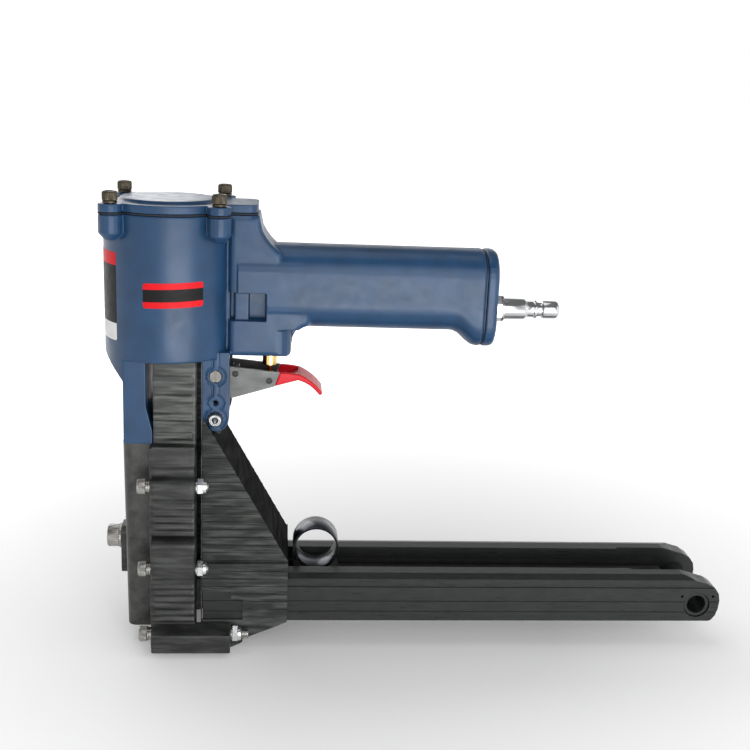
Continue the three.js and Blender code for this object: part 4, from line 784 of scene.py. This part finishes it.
def bracket_piece(node, rings, look, slot, tube):
    x, _, z = middle_mm(node)
    turned_piece(node, (0, -1, 0), (x, 0, z), rings, look, slot, tube=tube)


def build_bracket_bolt():
    low, high = node_mm("bracket_bolt")
    start, end = -high.y, -low.y
    rings = rings_at(start, BRACKET_SOCKET, "hex") + rings_at(start, BRACKET_HEAD)
    rings += rings_at(end, BRACKET_TIP)
    bracket_piece("bracket_bolt", rings, "bright", "bright_plating", tube=False)


def build_bracket_nut():
    low, high = node_mm("bracket_nut")
    rings = rings_at(-high.y, RING_FOOT) + rings_at(-low.y, RING_TOP)
    bracket_piece("bracket_nut", rings, "bright", "bright_plating", tube=True)


def build_toothed_washer():
    low, high = node_mm("bracket_washer")
    start, end = -high.y, -low.y
    bore, edge = TOOTHED["bore"], TOOTHED["edge"]
    rings = [(start, bore, "round"), (start, edge, "teeth")]
    rings += [((start + end) / 2, TOOTHED["middle"], "teeth"), (end, edge, "teeth"), (end, bore, "round")]
    bracket_piece("bracket_washer", rings, "washer", "plain_steel", tube=True)


# The air plug: a root, six flats, a flange, a body, two grooves round a thin ring, and a rounded nose
PLUG_LENGTH = 43.3
PLUG_ROOT = [(0, 2.6), (0, 5.4), (0.5, 5.9)]
PLUG_SHOULDER = [(-0.2, 5.9), (-0.15, 6.6)]
PLUG_FLATS = [(0, 7.1), (0.3, 7.42), (5, 7.42), (5.3, 7.2)]
PLUG_FLANGE = [(5.4, 7.9), (5.6, 8.5), (6.6, 8.5), (6.8, 8.1), (6.9, 6.9), (7.2, 6.9)]
PLUG_BODY = [(20.2, 6.9), (20.8, 6.6), (22, 5.6), (22.6, 5.3), (26.6, 5.3)]
PLUG_RING = [(27, 5.9), (27.3, 6), (28.1, 6), (28.4, 5.9)]
PLUG_GROOVE = [(28.7, 4.9), (31.4, 4.5), (32, 4.7), (32.7, 5.6), (33.2, 5.85)]
PLUG_NOSE = [(-2.2, 5.85), (-1.2, 5.6), (-0.4, 5), (0, 4.2), (0, 3), (-0.4, 2.6)]


def build_plug():
    low, high = node_mm("air_plug")
    face = high.x - PLUG_LENGTH
    rings = rings_at(low.x, PLUG_ROOT) + rings_at(face, PLUG_SHOULDER) + rings_at(face, PLUG_FLATS, "hex")
    rings += rings_at(face, PLUG_FLANGE + PLUG_BODY + PLUG_RING + PLUG_GROOVE) + rings_at(high.x, PLUG_NOSE)
    center = (0, 0, middle_mm("air_plug")[2])
    turned_piece("air_plug", (1, 0, 0), center, rings, "bright", "bright_plating", tube=True)


SPACER_WALL = 2.4
SPACER_EDGE = 0.4


def build_spacer():
    low, high = node_mm("rear_spacer")
    x, _, z = middle_mm("rear_spacer")
    edge, radius = SPACER_EDGE, (high.z - low.z) / 2
    bore = radius - SPACER_WALL
    rings = rings_at(low.y, [(0, bore + edge), (0, radius - edge), (edge, radius)])
    rings += rings_at(high.y, [(-edge, radius), (0, radius - edge), (0, bore + edge), (-edge, bore)])
    rings += rings_at(low.y, [(edge, bore)])
    turned_piece("rear_spacer", (0, 1, 0), (x, 0, z), rings, "rail", "black_rail", tube=True)


# The roll spring: one strip on the same course as in the CAD model, in fine steps and with rounded edges
ROLL = {
    "outer": 15.6, "strip": 0.5, "layer": 0.95, "rise": 0.2, "turns": 2, "steps": 90,
    "tail": 10, "bend": 3, "bend_steps": 12, "half": 10,
}
STRIP_EDGE = [(0.2, 1), (0, 0.4), (0, -0.4), (0.2, -1)]


def roll_turns(middle_x, middle_z):
    """The strip's layers from the inside out, as places in mm."""
    total = ROLL["turns"] * ROLL["steps"]
    path = []
    for i in range(total + 1):
        left = (total - i) / ROLL["steps"]
        radius = ROLL["outer"] - ROLL["strip"] / 2 - ROLL["layer"] * left
        angle = pi - 2 * pi * left
        path.append((middle_x + radius * cos(angle), middle_z + radius * sin(angle)))
    return path


def roll_tail(fall, floor, end):
    """The bend at the foot of the roll and the flat end on the pusher."""
    bend, steps = ROLL["bend"], ROLL["bend_steps"]
    angles = [pi / 2 * i / steps for i in range(1, steps + 1)]
    path = [(fall - bend * (1 - cos(angle)), floor + bend * (1 - sin(angle))) for angle in angles]
    return path + [(end, floor)]


def roll_path(low, high):
    fall = low.x + ROLL["tail"] + ROLL["bend"]
    middle_x = fall + ROLL["outer"] - ROLL["strip"] / 2
    middle_z = high.z - ROLL["outer"] + ROLL["rise"]
    return roll_turns(middle_x, middle_z) + roll_tail(fall, low.z + ROLL["strip"] / 2, low.x)


def build_roll_spring():
    path = roll_path(*node_mm("roll_spring"))
    half, thin = ROLL["half"], ROLL["strip"] / 2
    section = [(half - inset, side) for inset, side in STRIP_EDGE]
    section += [(-across, -side) for across, side in section]
    rows = []
    for i, (x, z) in enumerate(path):
        x0, z0 = path[max(i - 1, 0)]
        x1, z1 = path[min(i + 1, len(path) - 1)]
        length = hypot(x1 - x0, z1 - z0)
        out_x, out_z = -(z1 - z0) / length * thin, (x1 - x0) / length * thin
        rows.append([Vector((x + out_x * side, across, z + out_z * side)) * MM for across, side in section])
    mesh = grid_mesh("roll spring", rows)
    shade(mesh, SHARP_STRIP)
    add_piece("roll_spring_fine", mesh, "strip", "pusher", "spring_steel", "roll_spring")


# The labels on the barrel, as a curved film in three bands with rounded outer corners
FILM = 0.12 * MM
FILM_STEPS = 60
CORNER = 1.6
LABELS = {
    "side_label": {
        "span": (73, 126.5), "lean": 1.1, "edges": (243.9, 240.1, 232.5, 228.7),
        "looks": ("label_red", "label_black", "label_red"),
    },
    "front_label": {
        "span": (-43.5, 43.5), "lean": 0, "edges": (259.8, 251.9, 216, 205.2),
        "looks": ("label_red", "label_black", "label_white"),
    },
}


def corner_cut(radius, from_end):
    """How much a rounded corner takes off a band's height, at a distance from the band's end."""
    return radius - max(radius**2 - max(radius - from_end, 0) ** 2, 0) ** 0.5


def film_band(name, look, span, heights, lean, corners):
    """One band, between two angles from the front and two heights, with its right end higher by lean."""
    length = radians(span[1] - span[0]) * BARREL_RADIUS / MM
    base = Vector((BARREL_X, 0, 0))
    rows = []
    for i in range(FILM_STEPS + 1):
        share = (1 - cos(pi * i / FILM_STEPS)) / 2
        angle = radians(span[0] + (span[1] - span[0]) * share)
        out = Vector((-cos(angle), -sin(angle), 0))
        inner, outer = base + out * (BARREL_RADIUS - FILM), base + out * (BARREL_RADIUS + FILM)
        from_end, shift = min(share, 1 - share) * length, lean * (share - 0.5)
        low, high = [corner_cut(radius, from_end) for radius in corners]
        bottom, top = heights[0] + shift + low, heights[1] + shift - high
        ring = [(inner, bottom), (outer, bottom), (outer, top), (inner, top)]
        rows.append([(place.x, place.y, z * MM) for place, z in ring])
    mesh = grid_mesh(name, rows)
    shade(mesh, SHARP_FINE)
    add_piece(name, mesh, look, "frame", "blue_paint")


def build_labels():
    for name, label in LABELS.items():
        edges = label["edges"]
        for i, level in enumerate(("upper", "middle", "lower")):
            corners = (CORNER if level == "lower" else 0, CORNER if level == "upper" else 0)
            heights = (edges[i + 1], edges[i])
            look = label["looks"][i]
            film_band(f"{name}_{level}", look, label["span"], heights, label["lean"], corners)


# The floor, the world and the lamps
def shown_rays(nodes, links):
    """1 for rays from the camera and for what metal and glass show, 0 for light on the object."""
    path = nodes.new("ShaderNodeLightPath").outputs
    shown = reckon(nodes, links, "MAXIMUM", path["Is Camera Ray"], path["Is Glossy Ray"])
    return reckon(nodes, links, "MAXIMUM", shown, path["Is Transmission Ray"])


def floor_material():
    """Pale paper that is shown white, and still takes the object's shadow near it."""
    material = bpy.data.materials.new("pale floor")
    material.use_nodes = True
    nodes, links = material.node_tree.nodes, material.node_tree.links
    shader = nodes["Principled BSDF"]
    shader.inputs["Base Color"].default_value = (*PAPER, 1)
    shader.inputs["Roughness"].default_value = 0.95
    shader.inputs["Specular IOR Level"].default_value = 0.0
    shader.inputs["Emission Color"].default_value = (1, 1, 1, 1)
    place = nodes.new("ShaderNodeTexCoord")
    away = nodes.new("ShaderNodeVectorMath")
    away.operation = "LENGTH"
    links.new(place.outputs["Object"], away.inputs[0])
    glow = map_range(nodes, links, away.outputs["Value"], FLOOR_FADE, FLOOR_GLOW)
    shown = reckon(nodes, links, "MULTIPLY", glow, shown_rays(nodes, links))
    links.new(shown, shader.inputs["Emission Strength"])
    return material


def build_stage():
    reach = FLOOR_REACH
    corners = [(-reach, -reach, 0), (reach, -reach, 0), (reach, reach, 0), (-reach, reach, 0)]
    mesh = bpy.data.meshes.new("floor")
    mesh.from_pydata(corners, [], [(0, 1, 2, 3)])
    mesh.materials.append(floor_material())
    floor = bpy.data.objects.new("floor", mesh)
    floor.location.z = -FLOOR_DROP
    bpy.context.scene.collection.objects.link(floor)


def light_world():
    """Light that is white at the horizon and dim overhead."""
    world = bpy.data.worlds.new("world")
    bpy.context.scene.world = world
    world.use_nodes = True
    nodes, links = world.node_tree.nodes, world.node_tree.links
    background = nodes["Background"]
    background.inputs["Color"].default_value = (1, 1, 1, 1)
    axes = nodes.new("ShaderNodeSeparateXYZ")
    links.new(nodes.new("ShaderNodeTexCoord").outputs["Generated"], axes.inputs["Vector"])
    links.new(map_range(nodes, links, axes.outputs["Z"], SKY_RISE, SKY), background.inputs["Strength"])


def lamp(name, place, size, power):
    data = bpy.data.lights.new(name, "AREA")
    data.shape = "RECTANGLE"
    data.size, data.size_y = size
    data.energy = power
    light = bpy.data.objects.new(name, data)
    light.location = place
    light.rotation_euler = (LAMP_AIM - Vector(place)).to_track_quat("-Z", "Y").to_euler()
    bpy.context.scene.collection.objects.link(light)


bpy.context.scene.view_settings.view_transform = "Standard"
aim_camera()
build_stage()
light_world()
for name, place, size, power in LAMPS:
    lamp(name, place, size, power)
dress_nodes()
ease_edges()
build_castings()
build_cap_screws()
build_nose_bolts()
build_nose_nuts()
build_stop_bolt()
build_bracket_bolt()
build_bracket_nut()
build_toothed_washer()
build_plug()
build_spacer()
build_roll_spring()
build_labels()
